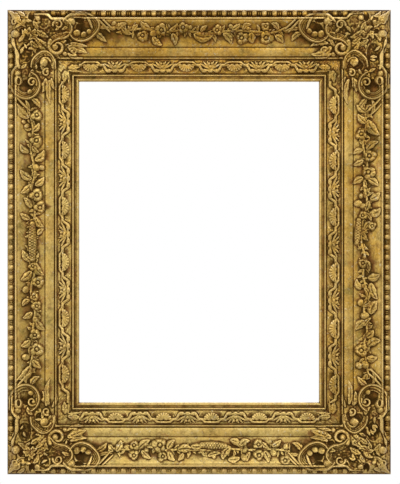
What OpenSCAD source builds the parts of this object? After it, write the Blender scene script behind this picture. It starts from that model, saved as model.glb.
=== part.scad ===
// Carved and gilded picture frame for a 610 x 460 mm canvas, with its back frame,
// fixings, hangers and turn buttons. Millimetres, +Z up, front towards -Y.
// The origin is the middle of the frame on the wall plane.

/* [Picture] */
// Width of the canvas that the frame takes
canvas_w = 460; // [440:5:480]
// Height of the canvas that the frame takes
canvas_h = 610; // [590:5:630]
// Gap round the canvas in its rebate
canvas_gap = 1; // [0.5:0.5:3]
// How far the sight edge laps over the canvas
lip = 9; // [6:0.5:10]

/* [Moulding] */
// Height of the outer side of the moulding
side_h = 16; // [14:0.5:18]
// Height of the top fillet over the moulding's back
fillet_h = 34; // [32:0.5:38]
// Height of the plain frieze over the moulding's back
frieze_h = 13; // [12:0.5:14]

/* [Ornament] */
// Distance from pearl to pearl
pearl_pitch = 18.6; // [17:0.1:20]
// Radius of a pearl
pearl_r = 5.4; // [4.6:0.1:5.6]
// Distance from shell to shell on the short rails
wave_short = 88.5; // [86:0.5:91]
// Distance from shell to shell on the long rails
wave_long = 103.5; // [100:0.5:107]
// Height of the carved ridges over their ground
carve_h = 5; // [3:0.5:6]

/* [Back] */
// Thickness of the back frame, which is the depth of the rebate
back_t = 18; // [16:0.5:20]
// How far the back frame stays in from the outer edge
back_inset = 6; // [4:1:10]
// Thickness of the cork pads that rest on the wall
pad_t = 7; // [7:0.5:9]
// How far the hangers sit over the middle
hanger_up = 145; // [120:5:170]

/* [Hidden] */
$fn = 48;

// Bands of the moulding, as distances from the outer edge
pearl_in = 1.5;
pearl_out = 14.2;
fillet_in = 15;
fillet_out = 19;
cove_end = 69;
frieze_in = 70;
frieze_out = 86;
ridge_in = 88;
ridge_out = 92;
band_in = 93.5;
band_out = 117;
slip_in = 121.5;
rail_w = 132.5;

// Heights over the moulding's back
cove_low = 14;
quirk_h = 11;
band_seat_h = 10;
slip_top_h = 12;
slip_lip_h = 5;
// Carving starts at these heights under the face, one for each kind
stem_root = 9;
leaf_root = 8.4;
petal_root = 7;
disc_root = 6;
cove_steps = 6;

// Overall sizes
sight_w = canvas_w + 2 * canvas_gap - 2 * lip;
sight_h = canvas_h + 2 * canvas_gap - 2 * lip;
outer_w = sight_w + 2 * rail_w;
outer_h = sight_h + 2 * rail_w;
rebate_d = rail_w - lip;
back_face_y = -pad_t;
seat_y = -pad_t - back_t;
far = 2 * outer_h;

// Colours
gold = [0.72, 0.55, 0.25];
old_gold = [0.62, 0.46, 0.2];
oak = [0.48, 0.34, 0.2];
pale_oak = [0.62, 0.48, 0.3];
brass = [0.78, 0.63, 0.32];
steel = [0.55, 0.54, 0.52];
cork = [0.66, 0.5, 0.34];

// The cove falls from the top fillet to the frieze as a parabola
cove_points = [for (i = [0 : cove_steps])
    let (t = i / cove_steps)
    [fillet_out + 0.5 + t * (cove_end - fillet_out - 0.5),
     cove_low + (fillet_h - 1 - cove_low) * pow(1 - t, 2)]];

// The face of the moulding: distance from the outer edge, height
ground_line = concat(
    [[0, side_h], [pearl_out + 0.2, side_h], [fillet_in, fillet_h], [fillet_out, fillet_h]],
    cove_points,
    [[frieze_in, frieze_h], [frieze_out, frieze_h], [frieze_out + 0.6, quirk_h],
     [ridge_in - 0.4, quirk_h], [ridge_in + 0.8, frieze_h + 1], [ridge_out - 0.8, frieze_h + 1],
     [ridge_out + 0.2, quirk_h], [band_in, quirk_h]]);

function foot(line) = concat([[line[0][0], 0]], line, [[line[len(line) - 1][0], 0]]);

rail_profile = foot(concat(
    ground_line,
    [[band_in, band_seat_h], [band_out, band_seat_h], [band_out, frieze_h + 0.5],
     [slip_in - 0.6, frieze_h + 0.5], [slip_in, frieze_h - 0.5]]));

// The slip's back clears the back frame, which overlaps it a little
slip_clear = 0.4;
seat_in = rebate_d + 0.2;
slip_profile = [
    [slip_in, slip_clear], [slip_in, quirk_h - 1], [slip_in + 0.8, quirk_h - 1],
    [slip_in + 1.2, slip_top_h], [slip_in + 3.4, slip_top_h + 0.4], [slip_in + 4.4, slip_top_h - 1.8],
    [slip_in + 6.2, slip_top_h - 4.6], [slip_in + 8.4, slip_lip_h + 1.4],
    [rail_w - 1.6, slip_lip_h + 1.6], [rail_w, slip_lip_h], [rail_w, 0], [seat_in, 0],
    [seat_in, slip_clear]];

function ground(d) = lookup(d, ground_line);

// Sides are numbered clockwise from the top as seen from the front. On a side's own plane
// +X runs clockwise, -Y inwards from the outer edge and +Z forwards.
function is_long(side) = side % 2 == 1;
function half_across(side) = (is_long(side) ? outer_w : outer_h) / 2;
function half_along(side) = (is_long(side) ? outer_h : outer_w) / 2;

module facing(y) {
    translate([0, y, 0]) rotate([90, 0, 0]) children();
}

module on_side(side) {
    rotate([0, 0, -90 * side]) translate([0, half_across(side), 0]) children();
}

// Corner 0 is the top left. +X runs along its top edge and -Y down its side.
module at_corner(corner) {
    rotate([0, 0, -90 * corner])
        translate([-half_along(corner), half_across(corner), 0]) children();
}

// Once, and again turned over about the mitre
module both_arms() {
    children();
    mirror([1, 1, 0]) children();
}

// A length of moulding of one profile, cut to the mitres
module mitred(side, profile) {
    a = half_along(side);
    reach = rail_w + 1;
    on_side(side) intersection() {
        translate([-a, 0, 0]) rotate([90, 0, 90])
            linear_extrude(2 * a) polygon([for (p = profile) [-p[0], p[1]]]);
        translate([0, 0, -1]) linear_extrude(fillet_h + 2 * carve_h)
            polygon([[-a, 0], [a, 0], [a - reach, -reach], [reach - a, -reach]]);
    }
}

// Front mouldings
key_at = 62;
key_len = 62;
key_w = 24;
key_waist = 14;
key_deep = 6;
key_gap = 0.05;
frame_screw_d = 45;
frame_screw_r = 2;
frame_screw_bite = 12;
screw_gap = 0.05;

function frame_screw_places(side) = is_long(side) ? [-250, 0, 250] : [-100, 100];

module key_shape(corner, gap, h) {
    half = key_len / 2 + gap;
    end = key_w / 2 + gap;
    waist = key_waist / 2 + gap;
    at_corner(corner) translate([key_at, -key_at, 0]) rotate([0, 0, 45])
        linear_extrude(h)
            polygon([[-half, -end], [0, -waist], [half, -end],
                     [half, end], [0, waist], [-half, end]]);
}

module rail(side) {
    color(old_gold) facing(seat_y) difference() {
        mitred(side, rail_profile);
        for (along = frame_screw_places(side)) on_side(side)
            translate([along, -frame_screw_d, -1])
                cylinder(r = frame_screw_r + screw_gap, h = frame_screw_bite + 1.5);
        for (corner = [side, (side + 1) % 4]) translate([0, 0, -1])
            key_shape(corner, key_gap, key_deep + 1);
    }
}

module mitre_keys() {
    color(pale_oak) facing(seat_y) for (corner = [0 : 3])
        key_shape(corner, 0, key_deep - key_gap);
}

module sight_slip(side) {
    color(gold) facing(seat_y) mitred(side, slip_profile);
}

// Pearls and reels on their strip
pearl_d = (pearl_in + pearl_out) / 2;
pearl_up = side_h + 2;
pearl_seat = side_h + 1.5;
pearl_end = 34;
reel_r = 3.8;
reel_w = 3;

module pearl_strip(side) {
    reach = half_along(side) - pearl_end;
    count = floor(reach / pearl_pitch - 0.4);
    color(gold) facing(seat_y) on_side(side) {
        translate([-reach, -pearl_out, side_h])
            cube([2 * reach, pearl_out - pearl_in, pearl_seat - side_h]);
        intersection() {
            union() {
                for (i = [-count : count - 1])
                    translate([(i + 0.5) * pearl_pitch, -pearl_d, pearl_up]) sphere(pearl_r);
                for (i = [-count : count])
                    translate([i * pearl_pitch - reel_w / 2, -pearl_d, pearl_up])
                        rotate([0, 90, 0]) cylinder(r = reel_r, h = reel_w);
            }
            translate([-reach, -pearl_out, side_h])
                cube([2 * reach, pearl_out - pearl_in, 2 * pearl_r]);
        }
    }
}

// The strap that winds along its band, over shells and under fans of reeds
band_top = 13.4;
band_mid = (band_in + band_out) / 2;
strap_h = 2.2;
strap_w = 4.6;
strap_swing = 8;
shell_r = 13.6;
shell_base = 6.8;
shell_lobes = 7;
shell_turns = 21;
reed_l = 15;
reed_w = 3.2;
reed_base = -6.6;
band_end = 12;
// Distance from the middle of each side to its first shell, clockwise
wave_at = [-23.3, -46.8, -22.9, -37];
band_profile = [[band_in, band_seat_h], [band_in, quirk_h + 0.6], [band_in + 2.5, band_top - 0.5],
                [band_mid, band_top], [band_out - 2.5, band_top - 0.4],
                [band_out - 0.2, quirk_h + 0.8], [band_out - 0.2, band_seat_h]];
// One wave from shell to shell: share of the wave, share of the swing
strap_run = [[0.13, 1], [0.2, 0.42], [0.26, 0.36], [0.34, -0.9],
             [0.66, -0.9], [0.74, 0.36], [0.8, 0.42], [0.87, 1]];

function wave(side) = is_long(side) ? wave_long : wave_short;
function wave_reach(side) = half_along(side) - band_out - band_end;
// Places at a share of the wave after each shell, as far as the strap goes less some room
function waves(side, share, room) = [for (k = [-5 : 4])
    let (x = wave_at[side] + (k + share) * wave(side))
    if (abs(x) < wave_reach(side) - room) x];

module strap(side) {
    line = [for (k = [-5 : 4]) for (p = strap_run)
        let (x = wave_at[side] + (k + p[0]) * wave(side))
        if (abs(x) < wave_reach(side)) [x, p[1] * strap_swing]];
    upper = [for (p = line) [p[0], p[1] + strap_w / 2]];
    lower = [for (i = [len(line) - 1 : -1 : 0]) [line[i][0], line[i][1] - strap_w / 2]];
    linear_extrude(band_top + strap_h) polygon(concat(upper, lower));
}

module shell(side) {
    stretch = is_long(side) ? 1.2 : 1;
    linear_extrude(band_top + strap_h * 0.8) polygon([for (i = [0 : shell_turns])
        let (a = 180 + 180 * i / shell_turns,
             r = shell_r * (1 + 0.12 * abs(sin(shell_lobes * (a - 180)))))
        [stretch * r * cos(a), shell_base + r * sin(a)]]);
}

module reeds() {
    for (turn = [-42, 0, 42]) translate([0, reed_base, 0]) rotate([0, 0, turn])
        translate([-reed_w / 2, 0, 0]) cube([reed_w, reed_l, band_top + strap_h * 0.9]);
}

module strap_band(side) {
    color(gold) facing(seat_y) {
        mitred(side, band_profile);
        difference() {
            on_side(side) translate([0, -band_mid, 0]) {
                strap(side);
                for (x = waves(side, 0, shell_r / 2)) translate([x, 0, 0]) shell(side);
                for (x = waves(side, 0.5, reed_l / 2)) translate([x, 0, 0]) reeds();
            }
            mitred(side, foot(concat([[0, band_seat_h], [band_in, band_seat_h]],
                                     [for (i = [1 : 5]) band_profile[i]],
                                     [[slip_in, band_seat_h]])));
        }
    }
}

// Carving. A ridge follows a path and stands up from below the moulding's face.
edge_h = 1.2;
round_sides = 8;
petal_sides = 6;
petal_turn = 23;

// The corners' carving stands on a fuller ground than the cove: distance, height
corner_line = [[0, side_h + 0.8], [pearl_out + 0.05, side_h + 1.2], [pearl_out + 0.15, fillet_h + 0.6],
               [fillet_out, fillet_h + 1], [32, 31], [50, 25], [70, 18.5], [86, frieze_h + 2.5],
               [92.4, frieze_h + 1.6]];

function level(p, in_corner) = in_corner ? lookup(max(0, min(p[0], -p[1])), corner_line)
                                         : ground(-p[1]);
function unit(v) = v / norm(v);
function along_at(path, i, closed) =
    let (n = len(path),
         before = closed ? (i + n - 1) % n : max(0, i - 1),
         after = closed ? (i + 1) % n : min(n - 1, i + 1))
    unit(path[after] - path[before]);

// The five points of a ridge's section, from its left foot over the top to its right foot
function section(p, along, half_w, ridge, in_corner, root) =
    let (left = p + half_w * [-along[1], along[0]], right = p - half_w * [-along[1], along[0]])
    [[left[0], left[1], root], [left[0], left[1], level(left, in_corner) + edge_h],
     [p[0], p[1], level(p, in_corner) + ridge],
     [right[0], right[1], level(right, in_corner) + edge_h], [right[0], right[1], root]];

module ridge(path, half_ws, high = carve_h, closed = false, in_corner = false, root = stem_root) {
    n = len(path);
    spans = closed ? n : n - 1;
    points = [for (i = [0 : n - 1])
        each section(path[i], along_at(path, i, closed), half_ws[i], high, in_corner, root)];
    skin = [for (i = [0 : spans - 1])
        let (a = 5 * i, b = 5 * ((i + 1) % n))
        each [[a, b, b + 1, a + 1], [a + 1, b + 1, b + 2], [a + 1, b + 2, a + 2],
              [a + 2, b + 2, b + 3], [a + 2, b + 3, a + 3], [a + 3, b + 3, b + 4, a + 4],
              [a + 4, b + 4, b, a]]];
    ends = closed ? [] : [[0, 1, 2, 3, 4], [for (k = [4 : -1 : 0]) 5 * (n - 1) + k]];
    polyhedron(points, concat(skin, ends));
}

leaf_shape = [0.3, 1, 0.8, 0.12];

// A pointed leaf from its root, bent by some degrees over its length
module leaf(root, turn, length, width, bend = 20, in_corner = false) {
    last = len(leaf_shape) - 1;
    path = [for (i = [0 : last])
        let (t = i / last, a = turn + bend * (t - 0.5))
        root + t * length * [cos(a), sin(a)]];
    ridge(path, leaf_shape * width / 2, carve_h - 0.5, false, in_corner, leaf_root);
}

module flower(at, r, in_corner = false, petals = 5) {
    top = level(at, in_corner) + carve_h - 1;
    translate([at[0], at[1], 0]) {
        for (i = [0 : petals - 1]) rotate([0, 0, 360 / petals * i + petal_turn])
            translate([0.6 * r, 0, petal_root])
                cylinder(r = 0.42 * r, h = top - petal_root, $fn = petal_sides);
        translate([0, 0, disc_root])
            cylinder(r1 = 0.55 * r, r2 = 0.25 * r, h = top - disc_root + 1, $fn = petal_sides);
    }
}

module bead(at, r, in_corner = true) {
    translate([at[0], at[1], level(at, in_corner) + 0.3 * r]) sphere(r, $fn = round_sides);
}

// Cuts carving off at the moulding's face
module carved_on(sides) {
    resize([0, 0, 0]) difference() {
        children();
        for (side = sides) mitred(side, rail_profile);
    }
}

// Flower sprays in the coves
spray_mid = 45;
spray_wave = 4;
spray_pitch = 21;
spray_end = 197;
spray_tip = 16;
stem_w = 1.5;
// The stem passes this far beside the roots of its leaves
stem_aside = 0.13;
knot_l = 34;

function stem_y(x) = -spray_mid + spray_wave * sin(360 * x / (3 * spray_pitch));

module spray(side) {
    reach = half_along(side) - spray_end;
    steps = floor((reach - spray_tip) / spray_pitch);
    stem = [for (i = [-steps : steps])
        let (x = i * (reach - spray_tip) / steps) [x, stem_y(x) + stem_aside]];
    color(gold) facing(seat_y) carved_on([side]) on_side(side) {
        ridge(stem, [for (p = stem) stem_w], 2.6);
        ridge([[-knot_l, -spray_mid - 1], [-knot_l / 2, -spray_mid], [0, -spray_mid],
               [knot_l / 2, -spray_mid], [knot_l, -spray_mid - 1]], [2, 6, 4.5, 6, 2]);
        for (s = [-1, 1]) for (k = [2 : steps]) {
            x = s * (k * spray_pitch - 3);
            up = k % 2 == 0 ? 1 : -1;
            heading = s > 0 ? 0 : 180;
            if (k % 3 == 0) flower([x, stem_y(x) + 1.5 * up], 8);
            if (k % 3 != 0) leaf([x, stem_y(x)], heading + s * up * 35, 19, 9, s * up * 30);
            leaf([x - s * 4, stem_y(x)], heading - s * up * 50, 15, 8, -s * up * 25);
        }
    }
}

// Corner ornament. Places are along one edge from the corner and in from the other edge.
plaque_edge = [[pearl_end, 0], [pearl_end, pearl_out + 0.2], [112, pearl_out + 0.2],
               [160, pearl_out + 0.2], [171, 28], [170, 44], [160, 57], [142, 64], [128, 72],
               [126, 90], [108, 92], [92, 92]];
loop_mid = [141, 38.2];
loop_r = [27, 21];
loop_steps = 14;
band_half = 2.6;

function arm(points) = [for (p = points) [p[0], -p[1]]];
function same(list, v) = [for (p = list) v];
function spiral(mid, r_out, r_in, from, turn, steps) = [for (i = [0 : steps])
    let (t = i / steps, a = from + turn * t, r = r_out + (r_in - r_out) * t)
    mid + r * [cos(a), sin(a)]];

module corner_plaque() {
    half = arm(plaque_edge);
    linear_extrude(far) polygon(concat(
        [[0, 0]], half, [for (i = [len(half) - 1 : -1 : 0]) [-half[i][1], -half[i][0]]]));
}

module corner_arm() {
    loop = [for (i = [0 : loop_steps - 1]) let (a = 360 * i / loop_steps)
        [loop_mid[0] + loop_r[0] * cos(a), -loop_mid[1] + loop_r[1] * sin(a)]];
    edge = arm([[40, 17.2], [58, 17.2], [80, 17.4], [98, 18], [112, 19.5]]);
    wrap = arm([[121, 40], [107, 46], [95, 52], [86, 62], [82, 74], [88, 84], [100, 89], [120, 88]]);
    eye = spiral([103, -68], 11, 4, 120, 400, 9);
    inner = spiral([140, -38], 15, 6, 200, 300, 8);
    ridge(loop, same(loop, band_half), carve_h + 1, true, true);
    ridge(edge, same(edge, band_half), carve_h, false, true);
    ridge(wrap, same(wrap, 3), carve_h + 1, false, true);
    ridge(eye, same(eye, 1.8), carve_h, false, true);
    ridge(inner, same(inner, 2), carve_h - 0.5, false, true);
    bead([103, -68], 4);
    bead([124, -26], 4.5);
    bead([134, -42], 5);
    bead([101, -31], 5.5);
    leaf([164, -50], 22, 36, 14, 30, true);
    leaf([118, -80], 4, 40, 12, -20, true);
    leaf([66, -40], 35, 26, 13, -25, true);
    leaf([52, -30], 25, 20, 10, 20, true);
    leaf([34, -30], 115, 26, 11, 0, true);
    leaf([84, -30], -20, 22, 10, 30, true);
}

module corner_ornament(corner) {
    color(gold) facing(seat_y) carved_on([corner, (corner + 3) % 4]) {
        intersection() {
            at_corner(corner) corner_plaque();
            for (side = [corner, (corner + 3) % 4])
                mitred(side, foot(corner_line));
        }
        at_corner(corner) {
            both_arms() corner_arm();
            leaf([42, -42], 135, 54, 26, 0, true);
            leaf([54, -54], -45, 34, 18, 0, true);
            flower([48, -48], 14, true, 6);
        }
    }
}

// Back frame, half lapped at its corners. From here on, places are over the back face of
// that frame: +Z still runs forwards, so what stands behind it is below zero.
lap_peg_r = 4;
lap_peg_places = [[42, 92], [92, 42]];
back_rail_w = rebate_d - back_inset;
button_in = 11;
button_d = rebate_d - button_in;
button_up = 190;
button_screw_r = 2.1;
button_screw_bite = 12;
hanger_screw_r = 1.7;
hanger_screw_bite = 13;
hanger_screw_ds = [50, 66];
sunk_head_r = 4;
sunk_head_h = 2.6;
slot_w = 0.9;
slot_deep = 0.8;
cut = 1;

function button_places(side) = is_long(side) ? [-button_up, button_up] : [0];
// The hangers are on the two long sides, both over the middle
function hanger_along(side) = side == 1 ? -hanger_up : hanger_up;

module pegs(grow, h) {
    for (corner = [0 : 3]) at_corner(corner) for (p = lap_peg_places)
        translate([p[0], -p[1], 0]) cylinder(r = lap_peg_r + grow, h = h);
}

module sunk_screw(grow) {
    cylinder(r = frame_screw_r + grow, h = back_t + frame_screw_bite);
    cylinder(r1 = sunk_head_r + grow, r2 = frame_screw_r + grow, h = sunk_head_h);
}

module slot(reach) {
    translate([-reach - cut, -slot_w / 2, -cut]) cube([2 * (reach + cut), slot_w, slot_deep + cut]);
}

module screw_hole(r, deep) {
    translate([0, 0, -cut]) cylinder(r = r + screw_gap, h = deep + cut);
}

module back_rail(side) {
    a = half_along(side) - back_inset;
    // Long rails keep the back half at their ends and short rails the front half
    lap_from = is_long(side) ? back_t / 2 : -back_t / 2;
    color(oak) facing(back_face_y) difference() {
        on_side(side) translate([-a, -rebate_d, 0]) cube([2 * a, back_rail_w, back_t]);
        for (s = [-1, 1]) on_side(side)
            translate([s > 0 ? a - back_rail_w : -a - cut, -rebate_d - cut, lap_from])
                cube([back_rail_w + cut, back_rail_w + 2 * cut, back_t]);
        translate([0, 0, -cut]) pegs(screw_gap, back_t + 2 * cut);
        for (along = frame_screw_places(side)) on_side(side)
            translate([along, -frame_screw_d, 0]) sunk_screw(screw_gap);
        for (along = button_places(side)) on_side(side)
            translate([along, -button_d, 0]) screw_hole(button_screw_r, button_screw_bite);
        if (is_long(side)) for (d = hanger_screw_ds) on_side(side)
            translate([hanger_along(side), -d, 0]) screw_hole(hanger_screw_r, hanger_screw_bite);
    }
}

module lap_pegs() {
    color(pale_oak) facing(back_face_y) pegs(0, back_t);
}

module back_frame_screws() {
    color(steel) facing(back_face_y) for (side = [0 : 3]) for (along = frame_screw_places(side))
        on_side(side) translate([along, -frame_screw_d, 0]) difference() {
            sunk_screw(0);
            slot(sunk_head_r);
        }
}

// A round-headed screw whose head stands some distance behind the back face
module round_screw(r, head_r, head_h, behind, bite) {
    translate([0, 0, -behind]) cylinder(r = r, h = behind + bite);
    translate([0, 0, -behind - head_h]) difference() {
        cylinder(r1 = head_r - 1, r2 = head_r, h = head_h);
        slot(head_r);
    }
}

// Wall pads
pad_at = 36;
pad_r = 14;

module wall_pads() {
    color(cork) facing(back_face_y) for (corner = [0 : 3])
        at_corner(corner) translate([pad_at, -pad_at, -pad_t]) cylinder(r = pad_r, h = pad_t);
}

// Hangers: a strap with a knuckle, and a ring that turns in it
strap_t = 1.6;
strap_wide = 16;
strap_from = 42;
knuckle_d = 84;
knuckle_r = 3.1;
knuckle_l = 15;
wire_r = 1.5;
wire_gap = 0.08;
ring_r = 11.5;
ring_long = 6;
hanger_head_r = 3.4;
hanger_head_h = 1.5;
knuckle_behind = knuckle_r;

module hanger_strap(side) {
    color(brass) facing(back_face_y) on_side(side) translate([hanger_along(side), 0, 0])
        difference() {
            union() {
                translate([-strap_wide / 2, -knuckle_d, -strap_t])
                    cube([strap_wide, knuckle_d - strap_from - strap_wide / 2, strap_t]);
                translate([0, -strap_from - strap_wide / 2, -strap_t])
                    cylinder(r = strap_wide / 2, h = strap_t);
                translate([-knuckle_l / 2, -knuckle_d, -knuckle_behind]) rotate([0, 90, 0])
                    cylinder(r = knuckle_r, h = knuckle_l);
            }
            translate([-knuckle_l, -knuckle_d, -knuckle_behind]) rotate([0, 90, 0])
                cylinder(r = wire_r + wire_gap, h = 2 * knuckle_l);
            for (d = hanger_screw_ds) translate([0, -d, -strap_t - cut])
                cylinder(r = hanger_screw_r + 2 * screw_gap, h = strap_t + 2 * cut);
        }
}

module hanger_ring(side) {
    color(steel) facing(back_face_y) on_side(side)
        translate([hanger_along(side), -knuckle_d, -knuckle_behind]) {
            translate([-ring_r, 0, 0]) rotate([0, 90, 0]) cylinder(r = wire_r, h = 2 * ring_r);
            for (s = [-1, 1]) translate([s * ring_r, 0, 0]) {
                sphere(wire_r);
                rotate([90, 0, 0]) cylinder(r = wire_r, h = ring_long);
            }
            translate([0, -ring_long, 0]) rotate([0, 0, 180])
                rotate_extrude(angle = 180) translate([ring_r, 0]) circle(wire_r);
        }
}

module hanger_screws() {
    color(brass) facing(back_face_y) for (side = [1, 3]) for (d = hanger_screw_ds)
        on_side(side) translate([hanger_along(side), -d, 0])
            round_screw(hanger_screw_r, hanger_head_r, hanger_head_h, strap_t,
                        hanger_screw_bite - 1);
}

// Turn buttons, parked along their rails so that the rebate is open
washer_t = 1;
washer_r = 5;
button_t = 2;
button_l = 40;
button_w = 11;
play = 0.1;
button_behind = washer_t + play + button_t;
button_head_r = 4.2;
button_head_h = 2;

module turn_button(side, along) {
    color(brass) facing(back_face_y) on_side(side)
        translate([along, -button_d, -button_behind]) difference() {
            union() {
                translate([-button_l / 2 + button_w / 2, -button_w / 2, 0])
                    cube([button_l - button_w, button_w, button_t]);
                for (s = [-1, 1]) translate([s * (button_l - button_w) / 2, 0, 0])
                    cylinder(r = button_w / 2, h = button_t);
            }
            translate([0, 0, -cut])
                cylinder(r = button_screw_r + wire_gap, h = button_t + 2 * cut);
        }
}

module turn_button_washers() {
    color(steel) facing(back_face_y) for (side = [0 : 3]) for (along = button_places(side))
        on_side(side) translate([along, -button_d, -washer_t]) difference() {
            cylinder(r = washer_r, h = washer_t);
            translate([0, 0, -cut])
                cylinder(r = button_screw_r + screw_gap, h = washer_t + 2 * cut);
        }
}

module turn_button_screws() {
    color(brass) facing(back_face_y) for (side = [0 : 3]) for (along = button_places(side))
        on_side(side) translate([along, -button_d, 0])
            round_screw(button_screw_r, button_head_r, button_head_h, button_behind + play,
                        button_screw_bite - 1);
}

rail(0);  // rail_top
rail(1);  // rail_right
rail(2);  // rail_bottom
rail(3);  // rail_left
sight_slip(0);  // sight_slip_top
sight_slip(1);  // sight_slip_right
sight_slip(2);  // sight_slip_bottom
sight_slip(3);  // sight_slip_left
pearl_strip(0);  // pearl_strip_top
pearl_strip(1);  // pearl_strip_right
pearl_strip(2);  // pearl_strip_bottom
pearl_strip(3);  // pearl_strip_left
strap_band(0);  // strap_band_top
strap_band(1);  // strap_band_right
strap_band(2);  // strap_band_bottom
strap_band(3);  // strap_band_left
spray(0);  // spray_top
spray(1);  // spray_right
spray(2);  // spray_bottom
spray(3);  // spray_left
corner_ornament(0);  // corner_top_left
corner_ornament(1);  // corner_top_right
corner_ornament(2);  // corner_bottom_right
corner_ornament(3);  // corner_bottom_left
back_rail(0);  // back_rail_top
back_rail(1);  // back_rail_right
back_rail(2);  // back_rail_bottom
back_rail(3);  // back_rail_left
lap_pegs();
mitre_keys();
back_frame_screws();
wall_pads();
hanger_strap(3);  // hanger_strap_left
hanger_strap(1);  // hanger_strap_right
hanger_ring(3);  // hanger_ring_left
hanger_ring(1);  // hanger_ring_right
hanger_screws();
turn_button(0, 0);  // turn_button_top
turn_button(1, -button_up);  // turn_button_right_upper
turn_button(1, button_up);  // turn_button_right_lower
turn_button(2, 0);  // turn_button_bottom
turn_button(3, -button_up);  // turn_button_left_lower
turn_button(3, button_up);  // turn_button_left_upper
turn_button_washers();
turn_button_screws();
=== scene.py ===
import math
import bpy
import numpy as np
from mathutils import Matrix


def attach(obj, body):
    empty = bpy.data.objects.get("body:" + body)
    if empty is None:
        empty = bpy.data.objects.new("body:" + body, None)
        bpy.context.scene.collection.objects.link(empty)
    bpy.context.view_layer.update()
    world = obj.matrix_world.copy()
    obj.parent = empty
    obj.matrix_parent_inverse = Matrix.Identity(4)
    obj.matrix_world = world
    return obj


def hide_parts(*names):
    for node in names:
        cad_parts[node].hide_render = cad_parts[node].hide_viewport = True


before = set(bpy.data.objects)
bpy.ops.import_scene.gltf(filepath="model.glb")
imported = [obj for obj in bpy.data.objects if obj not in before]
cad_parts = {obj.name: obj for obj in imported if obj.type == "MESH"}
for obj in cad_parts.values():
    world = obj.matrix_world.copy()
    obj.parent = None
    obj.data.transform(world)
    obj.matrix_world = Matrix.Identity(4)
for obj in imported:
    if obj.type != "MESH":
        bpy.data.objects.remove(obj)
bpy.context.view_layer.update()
rng = np.random.default_rng(61)

mm = 0.001
wide = 709.0       # outer width in mm
tall = 859.0       # outer height in mm
seatBehind = 25.0  # from the wall plane to the back of the moulding
sideNames = ["top", "right", "bottom", "left"]
cornerNames = ["top_left", "top_right", "bottom_right", "bottom_left"]

# The moulding's face: distance in from the outer edge, height over its back.
mouldingFace = np.array([
    (0.0, 12.5), (0.4, 14.6), (1.4, 15.8), (2.2, 16.0), (14.0, 16.0), (14.3, 16.3),
    (14.6, 31.5), (15.0, 33.2), (15.7, 34.0), (17.0, 34.1), (17.8, 33.5), (18.3, 31.4),
    (19.4, 30.3), (20.4, 30.9), (24.0, 28.8), (28.0, 26.4), (32.0, 24.2), (36.0, 22.2),
    (40.0, 20.5), (44.0, 18.9), (48.0, 17.6), (52.0, 16.4), (56.0, 15.5), (60.0, 14.8),
    (64.0, 14.3), (67.4, 14.05), (68.2, 13.8), (68.8, 11.6), (69.6, 11.6), (70.2, 12.8),
    (71.0, 13.0), (85.2, 13.0), (85.9, 12.6), (86.4, 10.4), (87.6, 10.3), (88.1, 12.6),
    (88.7, 13.7), (89.4, 14.0), (90.2, 13.7), (90.8, 12.8), (91.3, 10.3), (92.9, 10.3), (93.5, 10.8)])
slipFace = np.array([
    (117.0, 10.6), (118.3, 9.4), (119.3, 9.2), (119.9, 12.4), (120.5, 13.4), (122.0, 13.4),
    (122.5, 12.2), (123.0, 9.4), (124.0, 7.6), (125.8, 7.2), (127.2, 7.8), (128.0, 9.0),
    (128.8, 9.3), (130.4, 8.8), (131.6, 7.6), (132.5, 5.6)])
bandSeat, railEnd, slipEnd = 10.6, 123.0, 132.5    # height under the strap band, ends of rail and slip
# Darkening of the slip by distance in, below nought where it is made brighter, and the painted
# light each side gets: the top slip painted brightest, the left a little darker.
slipDarkeningByDepth = np.array([(122.9, 0.0), (123.4, -0.06), (127.2, -0.1), (128.2, -0.16), (132.5, -0.1)])
slipPaintedLight = [0.14, 0.06, 0.0, -0.06]
# The fuller ground that the corners' carving stands on.
cornerFace = np.array([
    (0.0, 16.4), (13.0, 17.0), (14.2, 18.0), (15.0, 34.3), (19.0, 34.8), (24.0, 33.2), (32.0, 30.0),
    (50.0, 23.5), (70.0, 17.6), (86.0, 15.0), (93.0, 13.8), (200.0, 13.8)])


def halfAlong(side):
    return (wide if side % 2 == 0 else tall) / 2


def halfAcross(side):
    return (tall if side % 2 == 0 else wide) / 2


def ground(depth):
    # Height of the plain moulding at a distance in from the outer edge, by straight lines.
    return np.interp(depth, mouldingFace[:, 0], mouldingFace[:, 1])


def toWorld(side, along, depth, height):
    # Turns (clockwise run, distance in, height) of one side into the frame's X, Y, Z in metres.
    across = halfAcross(side) - depth
    x, z = [(along, across), (across, -along), (-along, -across), (-across, along)][side]
    return np.stack([x, -(seatBehind + height), z], -1) * mm


def smoothStep(low, high, value):
    t = np.clip((value - low) / (high - low), 0, 1)
    return t * t * (3 - 2 * t)


def blurred(field, sigma):
    # Gaussian blur through the Fourier transform, with the edges carried on.
    n = int(4 * sigma) + 1
    padded = np.pad(field, n, mode="edge")
    fx, fy = np.fft.fftfreq(padded.shape[0]), np.fft.rfftfreq(padded.shape[1])
    gain = np.exp(-2 * (np.pi * sigma) ** 2 * (fx[:, None] ** 2 + fy[None] ** 2))
    return np.fft.irfft2(np.fft.rfft2(padded) * gain, padded.shape)[n:-n, n:-n]


def unevenness(shape, cell, size, amount):
    # A smooth random field with bumps about size mm across and amount mm high.
    field = blurred(rng.normal(size=shape), 0.35 * size / cell)
    return amount * field / field.std()


# A carving is a set of points on the picture plane with the height carved there.
def newCarving(p, q):
    return {"p": p, "q": q, "h": np.zeros_like(p)}


def window(carving, points, reach):
    points = np.atleast_2d(points)
    low, high = points.min(0) - reach, points.max(0) + reach
    p, q = carving["p"], carving["q"]
    return np.nonzero((p > low[0]) & (p < high[0]) & (q > low[1]) & (q < high[1]))


def raiseTo(carving, at, inside, height):
    old = carving["h"][at]
    carving["h"][at] = np.where(inside, np.maximum(old, height), old)


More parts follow.
